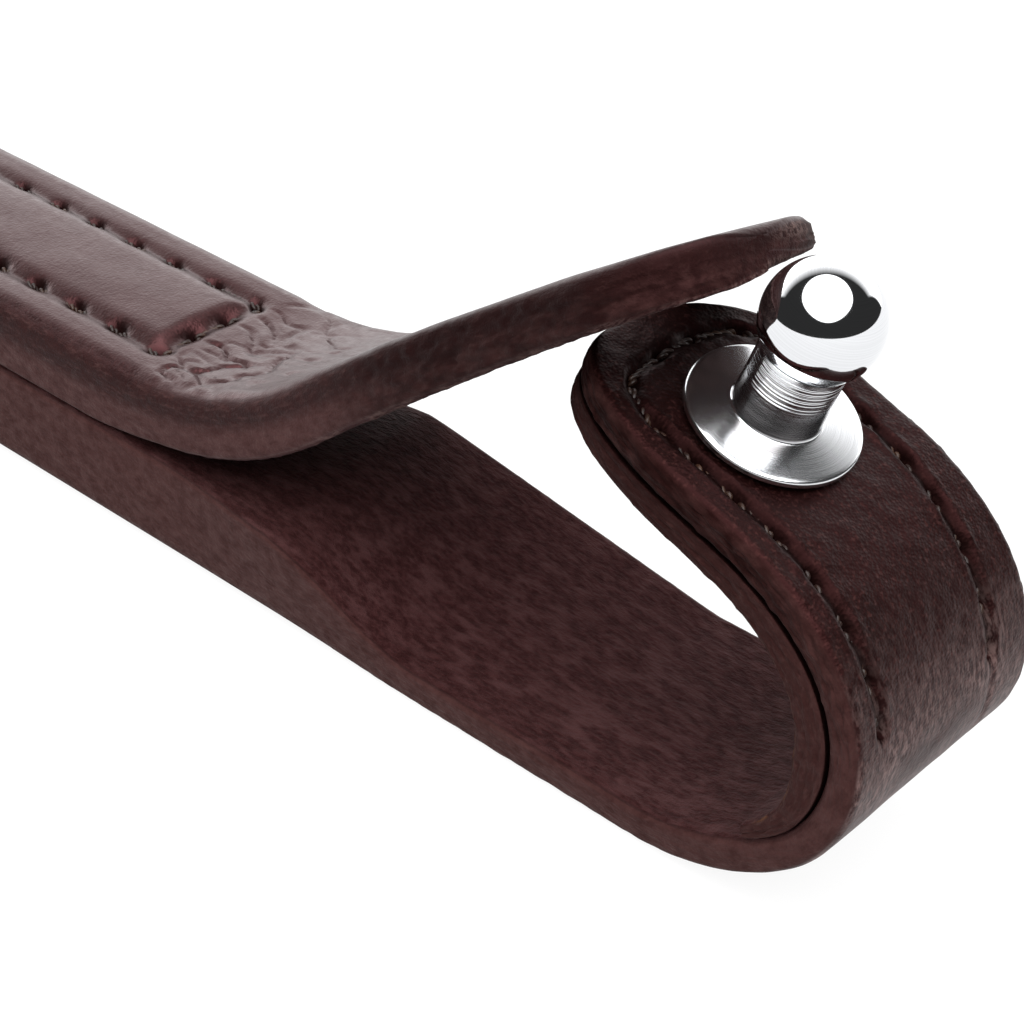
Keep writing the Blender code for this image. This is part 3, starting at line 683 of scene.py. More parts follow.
def smooth(mesh, sharp_angle):
    mesh.shade_smooth()
    mesh.set_sharp_from_angle(angle=sharp_angle)


def carve(piece, cutter):
    """Cuts a cutter object out of a piece for good and removes the cutter."""
    modifier = piece.modifiers.new("carve", "BOOLEAN")
    modifier.operation = "DIFFERENCE"
    modifier.object = cutter
    modifier.solver = "EXACT"
    graph = bpy.context.evaluated_depsgraph_get()
    carved = bpy.data.meshes.new_from_object(piece.evaluated_get(graph))
    piece.modifiers.remove(modifier)
    old = piece.data
    piece.data = carved
    bpy.data.meshes.remove(old)
    body = cutter.data
    bpy.data.objects.remove(cutter)
    bpy.data.meshes.remove(body)


def circle(radius, count):
    turns = [2 * pi * index / count for index in range(count)]
    return [(radius * cos(turn), radius * sin(turn)) for turn in turns]


def prism(name, outline, depth, place):
    """Cutter: an outline in the plane of place, pushed along its Z by a depth."""
    size = len(outline)
    points = [place @ Vector((x, y, z)) for z in (0.0, depth) for x, y in outline]
    ends = [tuple(range(size)), tuple(range(size, 2 * size))]
    return new_object(name, points, ends + ring_faces(size, 2))


class Skin:
    """Closed leather skin, built ring by ring, that keeps what its material needs to know.

    Each point carries its place in the leather (distance, across, depth), its sides
    (edge, flesh, painted shade of troughs, pits and glued faces) and its tone (share through
    the edge, wear and painted sheen, edge dye and painted shade).
    """

    SHARP_ANGLE = radians(55)
    CUT_INSET = 0.01

    def __init__(self, point):
        self.point = point
        self.points = []
        self.places = []
        self.sides = []
        self.tones = []
        self.ring_size = 0

    def add_ring(self, distance, spots, lift, painted_shade, wear_and_sheen, dye_and_shade):
        """Adds a ring of points at a distance, lifted off the solid's faces."""
        for spot in spots:
            height = lift(distance, spot)
            across = spot.across + spot.out_across * height
            depth = spot.depth + spot.out_depth * height
            self.points.append(self.point(distance, across, depth))
            self.places.append((distance, spot.across, spot.depth))
            edge = ease(abs(spot.out_across), 0.55, 0.4)
            flesh = 1.0 if spot.side == "back" else 0.0
            self.sides.append((edge, flesh, painted_shade(distance, spot)))
            self.tones.append((spot.share, wear_and_sheen(distance, spot), dye_and_shade))
        self.ring_size = len(spots)

    def object(self, name, material, cutter):
        """Object of the skin, with its hole cut by a cutter."""
        rings = len(self.points) // self.ring_size
        faces = ring_faces(self.ring_size, rings)
        for ring in (0, rings - 1):
            faces += self.end_faces(ring * self.ring_size)
        piece = new_object(name, self.points, faces, material)
        carve(piece, cutter)
        self.mark(piece.data)
        smooth(piece.data, self.SHARP_ANGLE)
        return piece

    def end_faces(self, first):
        """Closes an end with a cut face just inside the ring that starts at a point."""
        size = self.ring_size
        inner = len(self.points)
        ring = range(first, first + size)
        middle = sum((self.points[index] for index in ring), Vector()) / size
        for index in ring:
            self.points.append(self.points[index].lerp(middle, self.CUT_INSET))
            self.places.append(self.places[index])
            self.sides.append((1.0, 0.0, 0.0))
            self.tones.append(self.tones[index])
        faces = [tuple(range(inner, inner + size))]
        for index in range(size):
            following = (index + 1) % size
            faces.append((first + index, first + following, inner + following, inner + index))
        return faces

    def mark(self, mesh):
        """Stores the material's values, also for the points that a cut has added."""
        tree = KDTree(len(self.points))
        for index, point in enumerate(self.points):
            tree.insert(point, index)
        tree.balance()
        nearest = [tree.find(vertex.co)[1] for vertex in mesh.vertices]
        for name, values in (("place", self.places), ("sides", self.sides), ("tone", self.tones)):
            keep_values(mesh, name, [values[source] for source in nearest])


def stud_frame():
    """Frame of the stud: its axis stands off the arm, its origin is under the flange."""
    foot = lower_point(STUD_AT, 0.0, -PIECE_GAP)
    _, _, heading = LOWER_PATH.at(STUD_AT)
    tilt = Matrix.Rotation(pi - heading, 4, "Y")
    return Matrix.Translation(foot) @ tilt


def screw_hole():
    """Cutter for the screw's hole through the arm and its lining."""
    depth = 3 * arm_stack(STUD_AT)
    place = stud_frame() @ Matrix.Translation((0, 0, -depth * 0.66))
    return prism("screw_hole", circle(BORE_RADIUS, 48), depth, place)


def buttonhole():
    """Cutter for the round hole near the tongue's tip, with its slit."""
    centre_at = UPPER_PATH.length - BUTTONHOLE_FROM_TIP
    thickness = upper_thickness(centre_at)
    centre = upper_point(centre_at, 0.0, thickness / 2)
    down = (upper_point(centre_at, 0.0, thickness) - centre).normalized()
    side = (upper_point(centre_at, HALF_WIDTH, thickness / 2) - centre).normalized()
    along = down.cross(side)
    place = Matrix.Identity(4)
    place.col[0].xyz = along
    place.col[1].xyz = side
    place.col[2].xyz = down
    place.translation = centre - down * thickness
    radius = BUTTONHOLE_DIAMETER / 2
    mouth = asin(SLIT_WIDTH / 2 / radius)
    arc_steps = 56
    outline = []
    for index in range(arc_steps + 1):
        angle = pi + mouth + (2 * pi - 2 * mouth) * index / arc_steps
        outline.append((radius * cos(angle), radius * sin(angle)))
    outline.append((-radius - SLIT_LENGTH, SLIT_WIDTH / 2))
    outline.append((-radius - SLIT_LENGTH, -SLIT_WIDTH / 2))
    return prism("buttonhole", outline, 2 * thickness, place)


def upper_strap(material):
    """Upper strap, which ends in the tongue that buttons over the stud."""
    length = UPPER_PATH.length
    skin = Skin(upper_point)

    def lift(distance, spot):
        if spot.side == "face":
            end = 1 - ease(distance, length - 0.002, 0.002)
            return upper_face_relief(distance, spot.across) * side_share(spot) * end
        if spot.side == "back":
            free = ease(distance, TONGUE_ROOT, 0.004)
            return flesh_relief(distance, spot.across) * side_share(spot) * free
        torn = ease(distance, TONGUE_ROOT + 0.018, 0.010)
        return edge_relief(distance, spot.share, UPPER_EDGE_SEED, 0.6 + 2.6 * torn) * side_share(spot)

    # Painted shade in the stitch troughs and pits.
    def painted_shade(distance, spot):
        if spot.side != "face":
            return 0.0
        to_seam, to_hole = STRAP_SEAM.nearness(distance, spot.across, PIT_STRETCH)
        return min(0.25 * hump(to_seam, TROUGH_WIDTH * 0.5) + hump(to_hole, PIT_WIDTH * 1.2), 1.0)

    # Wear: tan rubbed patches along the tongue's lower corner. Painted sheen: a pale patch on the end of
    # the tongue's tip.
    def wear_and_sheen(distance, spot):
        if spot.side == "face":
            return 0.0
        patches = 0.5 + 1.2 * rough(distance, 0.0, *TONGUE_WEAR)
        under = ease(spot.share, 0.90, 0.08) * ease(distance, TONGUE_ROOT + 0.012, 0.006) * patches
        end = ease(distance, length - 0.0016, 0.0012) * ease(spot.across, 0.0, 0.003)
        tip = 0.8 * end * (1 - ease(spot.share, 0.35, 0.4))
        return min(max(under + tip, 0.0), 1.0)

    flat = spread(0.0, TONGUE_ROOT, RING_STEP)
    tongue = spread(TONGUE_ROOT, length - TONGUE_TIP_LENGTH, RING_STEP)
    for distance in flat + tongue[1:] + tip_distances(length, TONGUE_TIP_LENGTH)[1:]:
        half = HALF_WIDTH * tip_fullness(distance, length, TONGUE_TIP_LENGTH)
        thickness = upper_thickness(distance) - tip_drop(distance, length, FLESH_ROUND)
        face = tip_drop(distance, length, GRAIN_ROUND / 2)
        thinned = thickness - far_thinning(distance)
        face_round = min(GRAIN_ROUND, (thinned - face) / 2.2)
        back_round = min(FLESH_ROUND, face_round)
        spots = section_spots(-half, half, face, thickness, thinned, face_round, back_round)
        # Edge dye and painted shade, darkening the tongue's edges towards its tip.
        dye_and_shade = 0.95 * ease(distance, TONGUE_ROOT + 0.015, 0.014)
        skin.add_ring(distance, spots, lift, painted_shade, wear_and_sheen, dye_and_shade)
    return skin.object("upper_strap_leather", material, buttonhole())


def lower_strap(material):
    """Strap that runs underneath, round the loop and back to the stud."""
    length = LOWER_PATH.length
    skin = Skin(lower_point)

    def lift(distance, spot):
        if spot.side == "face":
            end = 1 - ease(distance, length - 0.0015, 0.0015)
            raised = ease(distance, FLAT_LENGTH - 0.01, 0.01)
            return lower_face_relief(distance, spot.across) * side_share(spot) * end * raised
        if spot.side == "back":
            free = ease(distance, FLAT_LENGTH - SKIVE_START - 0.004, 0.01)
            lined = ease(distance, FLAT_LENGTH + LINING_START, 0.003)
            return flesh_relief(distance, spot.across) * side_share(spot) * free * (1 - lined)
        worked = ease(distance, FLAT_LENGTH + ARM_SEAM_START - 0.008, 0.012)
        return edge_relief(distance, spot.share, LOWER_EDGE_SEED, 0.8 + 2.6 * worked) * side_share(spot)

    # Painted shade in the arm's stitch trough and pits.
    def painted_shade(distance, spot):
        if spot.side != "face" or distance < FLAT_LENGTH + ARM_SEAM_START - 0.002:
            return 0.0
        to_seam, to_hole = ARM_SEAM.nearness(distance, spot.across, PIT_STRETCH)
        return min(0.8 * hump(to_seam, ARM_TROUGH_WIDTH * 1.5) + hump(to_hole, PIT_WIDTH), 1.0)

    # Painted sheen: paler patches on the loop's outer bend.
    def wear_and_sheen(distance, spot):
        if spot.side != "face":
            return 0.0
        patches = 0.7 + 0.9 * rough(distance, spot.across, *LOOP_SHEEN)
        return max(0.95 * hump(distance - FLAT_LENGTH - SHEEN_AT, SHEEN_REACH) * patches, 0.0)

    hidden = spread(0.0, FLAT_LENGTH - SKIVE_START - 0.004, HIDDEN_RING_STEP)
    loop = spread(hidden[-1], length - ARM_TIP_LENGTH, RING_STEP)
    for distance in hidden + loop[1:] + tip_distances(length, ARM_TIP_LENGTH)[1:]:
        back_drop = tip_drop(distance, length, FLESH_ROUND)
        near_edge, far_edge = arm_edges(distance)
        thinned = ease(distance, FLAT_LENGTH - SKIVE_START, SKIVE_NEAR_LENGTH)
        spots = section_spots(
            near_edge,
            far_edge,
            tip_drop(distance, length, LOOP_ROUND),
            lower_thickness(distance, 0.0) - back_drop,
            lower_thickness(distance, 1.0) - back_drop,
            mix(0.0010, LOOP_ROUND, thinned),
            FLESH_ROUND,
        )
        # Edge dye and painted shade, darkest at the arm's tip, which the tongue shades.
        dye_and_shade = ease(distance, FLAT_LENGTH + ARM_SEAM_START - 0.006, 0.022)
        skin.add_ring(distance, spots, lift, painted_shade, wear_and_sheen, dye_and_shade)
    return skin.object("lower_strap_leather", material, screw_hole())


def loop_lining(material):
    """Lining under the stud arm, rubbed paler along its inner corner."""
    length = LOWER_PATH.length
    skin = Skin(lower_point)

    def lift(distance, spot):
        if spot.side == "back":
            return flesh_relief(distance, spot.across) * side_share(spot)
        if spot.side == "edge":
            return edge_relief(distance, spot.share, LINING_EDGE_SEED, 2.4) * side_share(spot)
        return 0.0

    # Painted shade over the lining's whole glued face, which lies against the arm.
    def painted_shade(distance, spot):
        return 1.0 if spot.side == "face" else 0.0

    def wear_and_sheen(distance, spot):
        corner = ease(spot.share, 0.82, 0.15) * ease(abs(spot.out_across), 0.05, 0.5)
        patches = 0.5 + 0.9 * rough(distance, 0.0, *LINING_WEAR)
        return min(max(corner * patches * ease(distance, FLAT_LENGTH + LINING_START, 0.003), 0.0), 1.0)

    start = FLAT_LENGTH + LINING_START
    run = spread(start, length - ARM_TIP_LENGTH, RING_STEP)
    for distance in run + tip_distances(length, ARM_TIP_LENGTH)[1:]:
        face = lower_thickness(distance, 0.0) + PIECE_GAP - GLUED_CLOSE
        back = face + GLUED_CLOSE + lining_thickness(distance) - tip_drop(distance, length, LINING_ROUND)
        near_edge, far_edge = arm_edges(distance)
        edge_round = min(LINING_ROUND, (back - face) / 2.5)
        spots = section_spots(near_edge, far_edge, face, back, back, edge_round / 3, edge_round)
        # Edge dye and painted shade as on the arm, weaker.
        dye_and_shade = ease(distance, FLAT_LENGTH + ARM_SEAM_START, 0.022)
        skin.add_ring(distance, spots, lift, painted_shade, wear_and_sheen, 0.6 * dye_and_shade)
    return skin.object("loop_lining_leather", material, screw_hole())


def frames_along(points):
    """Two directions square to a row of points, turned as little as possible on the way."""
    across = (points[1] - points[0]).orthogonal().normalized()
    last = len(points) - 1
    frames = []
    for index in range(last + 1):
        along = (points[min(index + 1, last)] - points[max(index - 1, 0)]).normalized()
        across = (across - along * across.dot(along)).normalized()
        frames.append((across, along.cross(across)))
    return frames


def smoothed(points, rounds):
    """Points with their corners rounded by repeated averaging."""
    for _ in range(rounds):
        middle = [
            (points[index - 1] + points[index] * 2 + points[index + 1]) / 4
            for index in range(1, len(points) - 1)
        ]
        points = [points[0]] + middle + [points[-1]]
    return points


def along_points(points, step):
    """Points resampled at an even step along their chain."""
    made = [points[0]]
    left = step
    for start, end in zip(points, points[1:]):
        length = (end - start).length
        run = left
        while run <= length:
            made.append(start.lerp(end, run / length))
            run += step
        left = run - length
    return made


def stitch_course(stitches, point, height, outward, rounds):
    """Centre line of a thread that lies over a seam and dips into each of its holes.

    outward is -1 on the grain face and 1 on the back.
    """
    corners = []
    last = len(stitches) - 1
    for index, (distance, across) in enumerate(stitches):
        before = stitches[max(index - 1, 0)]
        after = stitches[min(index + 1, last)]
        run = Vector((after[0] - before[0], after[1] - before[1])).normalized() * STITCH_LEG
        surface = height(distance)
        for sign, shown in ((-1, index > 0), (1, index < last)):
            if not shown:
                continue
            place = (distance + sign * run.x, across + sign * run.y)
            over = point(*place, surface)
            deep = point(*place, surface - outward * STITCH_DIP)
            corners += [over, deep] if sign < 0 else [deep, over]
    return smoothed(along_points(corners, THREAD_STEP), rounds)


def arm_thread_depth(distance):
    """Depth of the arm's thread: sunk in its furrow, higher where it crosses the tip."""
    tip = ease(distance, LOWER_PATH.length - ARM_TIP_MARGIN - 0.003, 0.0025)
    return mix(ARM_THREAD_DEPTH, ARM_TIP_THREAD_DEPTH, tip)


def arm_bobbin_depth(distance):
    """Depth of the thread that lies on the lining."""
    return arm_stack(distance) + ARM_BOBBIN_RISE


def twisted_thread(name, course, material):
    """Two strands laid round each other along a course."""
    run = [0.0]
    for start, end in zip(course, course[1:]):
        run.append(run[-1] + (end - start).length)
    size = STRAND_SIDES
    ring = circle(STRAND_RADIUS, size)
    points = []
    faces = []
    for strand in (0, 1):
        middle = []
        for point, distance, (across, other) in zip(course, run, frames_along(course)):
            turn = 2 * pi * distance / STRAND_LAY + pi * strand
            middle.append(point + (across * cos(turn) + other * sin(turn)) * STRAND_SPACING)
        first = len(points)
        for point, (across, other) in zip(middle, frames_along(middle)):
            points += [point + across * x + other * y for x, y in ring]
        last = len(points) - first - size
        tube = ring_faces(size, len(middle)) + [tuple(range(size)), tuple(range(last, last + size))]
        faces += [tuple(first + index for index in face) for face in tube]
    piece = new_object(name, points, faces, material)
    smooth(piece.data, radians(60))
    return piece


# Metal

METAL_SHARP_ANGLE = radians(28)
BALL_STEPS = 72
COLLAR = (
    (0.00262, -0.00004),
    (0.00236, -0.00006),
    (0.00233, -0.00016),
    (0.00236, -0.00022),
    (0.00254, -0.00024),
    (0.00257, -0.00028),
    (0.00257, -0.00052),
    (0.00254, -0.00056),
)
COLLAR_HEIGHT = 0.00060
GROOVES = 17
GROOVE_PITCH = 0.000105
GROOVE_DEPTH = 0.000007
NECK_FOOT = 0.00075
NECK_FILLET = 0.00022
NECK_TAPER = 0.00004
FLANGE_EDGE_HEIGHT = 0.00046
BORE_HEIGHT = 0.0046
THREAD_PITCH = 0.0005
THREAD_DEPTH = 0.00022
SCREW_RIM = 0.00036
SCREW_CHAMFER = 0.00008
SCREW_END_CHAMFER = 0.0003


def turned(name, profile, place, material):
    """Body turned from a profile of (radius, height), first and last point on the axis."""
    rings = profile[1:-1]
    around = circle(1.0, LATHE_STEPS)
    points = []
    values = []
    for radius, height in rings:
        points += [place @ Vector((radius * x, radius * y, height)) for x, y in around]
        values += [(radius, height, 0.0)] * LATHE_STEPS
    faces = ring_faces(LATHE_STEPS, len(rings))
    for first, (_, height) in ((0, profile[0]), (len(points) - LATHE_STEPS, profile[-1])):
        centre = len(points)
        points.append(place @ Vector((0.0, 0.0, height)))
        values.append((0.0, height, 0.0))
        for step in range(LATHE_STEPS):
            faces.append((centre, first + step, first + (step + 1) % LATHE_STEPS))
    piece = new_object(name, points, faces, material)
    keep_values(piece.data, "turning", values)
    return piece


def ball_stud(material):
    """Flange, grooved neck and ball head, turned in one piece with a bore for the screw."""
    profile = [(0.0, BALL_CENTRE + BALL_RADIUS)]
    for index in range(1, BALL_STEPS + 1):
        angle = pi / 2 - (pi / 2 + BALL_LOWER_ANGLE) * index / BALL_STEPS
        profile.append((BALL_RADIUS * cos(angle), BALL_CENTRE + BALL_RADIUS * sin(angle)))
    under_ball = BALL_CENTRE - BALL_RADIUS * sin(BALL_LOWER_ANGLE)
    profile += [(radius, under_ball + height) for radius, height in COLLAR]
    height = under_ball - COLLAR_HEIGHT
    for index in range(GROOVES):
        depth = GROOVE_DEPTH * (1.0 + 0.8 * sin(index * 2.4))
        low = NECK_RADIUS - depth
        for radius, share in ((low, 0.35), (low, 0.5), (NECK_RADIUS, 0.8), (NECK_RADIUS, 1.0)):
            profile.append((radius, height - share * GROOVE_PITCH))
        height -= GROOVE_PITCH
    below_grooves = height - 0.0001
    for share in (0.0, 0.35, 0.7, 1.0):
        radius = NECK_RADIUS + NECK_TAPER * share
        profile.append((radius, mix(below_grooves, NECK_FOOT + NECK_FILLET, share)))
    for index in range(1, 6):
        angle = pi / 2 * index / 5
        radius = NECK_RADIUS + NECK_TAPER + 0.00015 * (1 - cos(angle))
        profile.append((radius, NECK_FOOT + NECK_FILLET * (1 - sin(angle))))
    for share in spread(0.1, 0.94, 0.12):
        radius = mix(NECK_RADIUS + 0.0002, FLANGE_RADIUS - 0.00016, share)
        profile.append((radius, mix(NECK_FOOT, FLANGE_EDGE_HEIGHT, share)))
    profile += [
        (FLANGE_RADIUS - 0.00014, FLANGE_EDGE_HEIGHT - 0.00001),
        (FLANGE_RADIUS - 0.00006, FLANGE_EDGE_HEIGHT - 0.00005),
        (FLANGE_RADIUS - 0.00001, FLANGE_EDGE_HEIGHT - 0.00012),
        (FLANGE_RADIUS, FLANGE_EDGE_HEIGHT - 0.00018),
        (FLANGE_RADIUS, 0.00006),
        (FLANGE_RADIUS - 0.00006, 0.0),
        (BORE_RADIUS, 0.0),
        (BORE_RADIUS, BORE_HEIGHT),
        (0.0, BORE_HEIGHT + BORE_RADIUS / 2),
    ]
    piece = turned("ball_stud_metal", profile, stud_frame(), material)
    smooth(piece.data, METAL_SHARP_ANGLE)
    return piece


def stud_screw(material):
    """Slotted screw whose head bears on the lining."""
    seat = -PIECE_GAP - arm_stack(STUD_AT) - PIECE_GAP
    bottom = seat - SCREW_HEAD_HEIGHT
    profile = [
        (0.0, SCREW_REACH),
        (SCREW_RADIUS - SCREW_END_CHAMFER, SCREW_REACH),
        (SCREW_RADIUS, SCREW_REACH - SCREW_END_CHAMFER),
    ]
    height = SCREW_REACH - THREAD_PITCH
    while height > seat + 0.0012:
        profile += [(SCREW_RADIUS, height), (SCREW_RADIUS - THREAD_DEPTH, height - THREAD_PITCH / 2)]
        height -= THREAD_PITCH
    profile += [
        (SCREW_RADIUS, seat),
        (SCREW_HEAD_RADIUS - SCREW_CHAMFER, seat),
        (SCREW_HEAD_RADIUS, seat - SCREW_CHAMFER),
        (SCREW_HEAD_RADIUS, bottom + SCREW_RIM),
    ]
    for index in range(1, 8):
        angle = pi / 2 * index / 7
        radius = SCREW_HEAD_RADIUS - SCREW_RIM * (1 - cos(angle))
        profile.append((radius, bottom + SCREW_RIM * (1 - sin(angle))))
    for radius in (0.0028, 0.0020, 0.0010, 0.0003, 0.0):
        profile.append((radius, bottom))
    piece = turned("stud_screw_metal", profile, stud_frame(), material)
    half = SCREW_SLOT_WIDTH / 2
    reach = 1.5 * SCREW_HEAD_RADIUS
    outline = [(-half, -reach), (half, -reach), (half, reach), (-half, reach)]
    place = stud_frame() @ Matrix.Translation((0, 0, bottom - SCREW_SLOT_DEPTH))
    carve(piece, prism("screw_slot", outline, 2 * SCREW_SLOT_DEPTH, place))
    smooth(piece.data, METAL_SHARP_ANGLE)
    return piece


# Materials

class Nodes:
    """A node tree, with short ways to add what the materials and the studio need."""

    def __init__(self, tree):
        self.tree = tree

    def put(self, value, socket):
        """Links a socket to another, or sets it to a plain value."""
        if isinstance(value, bpy.types.NodeSocket):
            self.tree.links.new(value, socket)
        else:
            socket.default_value = value

    def add(self, kind, inputs=None, **settings):
        """New shader node with its settings and its inputs."""
        made = self.tree.nodes.new("ShaderNode" + kind)
        for name, value in settings.items():
            setattr(made, name, value)
        for key, value in (inputs or {}).items():
            self.put(value, made.inputs[key])
        return made

    def shade(self, shader, inputs):
        for name, value in inputs.items():
            self.put(value, shader.inputs[name])

    def maths(self, operation, *values):
        return self.add("Math", dict(enumerate(values)), operation=operation).outputs[0]

    def times(self, first, second):
        return self.maths("MULTIPLY", first, second)

    def weighted(self, first, first_weight, second, second_weight):
        """Sum of two values, each with its weight."""
        return self.maths("ADD", self.times(first, first_weight), self.times(second, second_weight))

    def blend(self, share, first, second):
        """Colour between two colours."""
        return self.add("Mix", {0: share, 6: first, 7: second}, data_type="RGBA").outputs[2]

    def between(self, share, first, second):
        """Number between two numbers."""
        return self.add("Mix", {0: share, 2: first, 3: second}).outputs[0]

    def fit(self, value, span, out_low=0.0, out_high=1.0):
        """Value carried from a span to another range, held at its ends."""
        low, high = span
        inputs = {"Value": value, "From Min": low, "From Max": high, "To Min": out_low, "To Max": out_high}
        return self.add("MapRange", inputs).outputs[0]

    def attribute(self, name):
        return self.add("Attribute", attribute_name=name).outputs["Vector"]

    def parts(self, vector):
        return self.add("SeparateXYZ", {0: vector}).outputs

    def scaled(self, vector, scale):
        return self.add("VectorMath", {0: vector, 1: scale}, operation="MULTIPLY").outputs[0]

    def noise(self, vector, detail=3.0, roughness=0.55):
        inputs = {"Vector": vector, "Scale": 1.0, "Detail": detail, "Roughness": roughness}
        return self.add("TexNoise", inputs).outputs[0]

    def bump(self, height, strength, distance):
        inputs = {"Height": height, "Strength": strength, "Distance": distance}
        return self.add("Bump", inputs).outputs[0]


def new_material(name):
    material = bpy.data.materials.new(name)
    material.use_nodes = True
    return material, Nodes(material.node_tree), material.node_tree.nodes["Principled BSDF"]


def rgb(red, green, blue):
    return (red, green, blue, 1.0)


# Sizes of the patterns in cells a metre: along, across and through the leather
CLOUDS = (260, 330, 330)
MOTTLE = (1100, 1500, 1500)
FIBRES = (1100, 3600, 3600)
STREAKS = (480, 1300, 1300)
GRAIN_CELLS = (5200, 5200, 5200)
GRAIN_CREASES = (2300, 1100, 1100)
LATHE_RINGS = 14000.0
METAL_SMEARS = (700, 700, 700)
THREAD_FUZZ = (6000, 6000, 6000)
THREAD_PATCHES = (420, 420, 420)

# Most of a noise lies in this span
NOISE_SPAN = (0.3, 0.7)
WHOLE = (0.0, 1.0)


def leather_colour(nodes, look, noises, sides, tone):
    """Colour of the leather: dark grain, rough flesh side, burnished cut edges darkened by dye and painted
    shade, painted shade in troughs, pits and joints, pale wear and painted sheen.
    """
    clouds, speckle, mottle, fibres, streaks = noises
    edge, flesh, painted_shade = sides
    through, pale_rub_and_sheen, dyed_and_shaded = tone
    face = nodes.blend(nodes.fit(clouds, (0.32, 0.68)), look["grain_dark"], look["grain_light"])
    face = nodes.blend(nodes.fit(speckle, (0.55, 0.72), 0.0, 0.8), face, look["grain_fleck"])
    back = nodes.blend(nodes.fit(fibres, (0.4, 0.62)), look["flesh_dark"], look["flesh_light"])
    back = nodes.blend(nodes.fit(streaks, (0.48, 0.66), 0.0, 0.7), back, look["flesh_streak"])
    rim = nodes.blend(nodes.fit(through, look["edge_span"]), look["edge_top"], look["edge_low"])
    rim = nodes.blend(nodes.fit(mottle, (0.4, 0.7), 0.0, 0.7), rim, look["edge_mark"])
    rim = nodes.blend(nodes.fit(fibres, (0.5, 0.72), 0.0, 0.5), rim, look["edge_streak"])
    # Edges darken with the edge dye and painted shade, most at the arm's tip, which the tongue shades.
    dye_and_shade = nodes.times(dyed_and_shaded, nodes.fit(streaks, (0.38, 0.68), 1.0, 0.5))
    rim = nodes.blend(dye_and_shade, rim, look["edge_dyed_and_shaded"])
    # Painted shade in the furrow where the arm and its lining meet, on both their edges.
    if look["joint_shade_span"]:
        joint_shade = nodes.times(dyed_and_shaded, nodes.fit(through, look["joint_shade_span"]))
        rim = nodes.blend(joint_shade, rim, look["painted_shade"])
    base = nodes.blend(flesh, face, back)
    base = nodes.blend(edge, base, rim)
    # Painted shade: stitch troughs, pits and the lining's glued face take the dark shade colour.
    base = nodes.blend(nodes.times(painted_shade, 0.85), base, look["painted_shade"])
    # Pale patches: wear on the tongue's lower corner and the lining's inner corner, painted sheen on the
    # loop's bend and the tongue's tip.
    rub_and_sheen_mask = nodes.times(pale_rub_and_sheen, nodes.fit(fibres, (0.42, 0.62)))
    return nodes.blend(rub_and_sheen_mask, base, look["pale_rub_and_sheen"])


def leather(name, look):
    """Waxed leather, whose points say where they lie in it."""
    material, nodes, shader = new_material(name)
    place = nodes.attribute("place")
    sides = nodes.parts(nodes.attribute("sides"))
    tone = nodes.parts(nodes.attribute("tone"))
    edge, flesh, painted_shade = sides
    dyed_and_shaded = tone[2]
    clouds = nodes.noise(nodes.scaled(place, CLOUDS), 2.0)
    speckle = nodes.noise(nodes.scaled(place, look["fleck_cells"]), 1.0)
    mottle = nodes.noise(nodes.scaled(place, MOTTLE), 3.0, 0.65)
    fibres = nodes.noise(nodes.scaled(place, FIBRES), 3.0, 0.7)
    streaks = nodes.noise(nodes.scaled(place, STREAKS), 2.0, 0.6)
    base = leather_colour(nodes, look, (clouds, speckle, mottle, fibres, streaks), sides, tone)

    gloss = nodes.fit(mottle, NOISE_SPAN, *look["gloss"])
    matt = nodes.between(edge, gloss, nodes.fit(mottle, NOISE_SPAN, 0.58, 0.82))
    matt = nodes.between(flesh, matt, 0.82)
    # Specular level is lower where shade is painted in troughs and pits, and on the edges.
    shine = nodes.times(nodes.fit(painted_shade, WHOLE, 0.5, 0.10), nodes.fit(edge, WHOLE, 1.0, 0.45))
    # Specular level also falls with the edge dye and painted shade, most at the arm's tip.
    shine = nodes.times(shine, nodes.fit(dyed_and_shaded, WHOLE, 1.0, 0.5))

    cell_inputs = {"Vector": nodes.scaled(place, GRAIN_CELLS), "Scale": 1.0}
    cells = nodes.add("TexVoronoi", cell_inputs, feature="F1").outputs["Distance"]
    folds = nodes.noise(nodes.scaled(place, GRAIN_CREASES), 3.0, 0.6)
    pores = nodes.weighted(cells, look["pores"], folds, 0.40)
    tangle = nodes.weighted(fibres, 5.0, speckle, 1.0)
    cut = nodes.weighted(fibres, 1.8, speckle, 0.5)
    height = nodes.between(flesh, nodes.between(edge, pores, cut), tangle)
    nodes.shade(shader, {
        "Base Color": base,
        "Roughness": matt,
        "Specular IOR Level": shine,
        "IOR": look["ior"],
        "Specular Tint": look["specular_tint"],
        "Normal": nodes.bump(height, 0.8, 0.00006),
    })
    return material


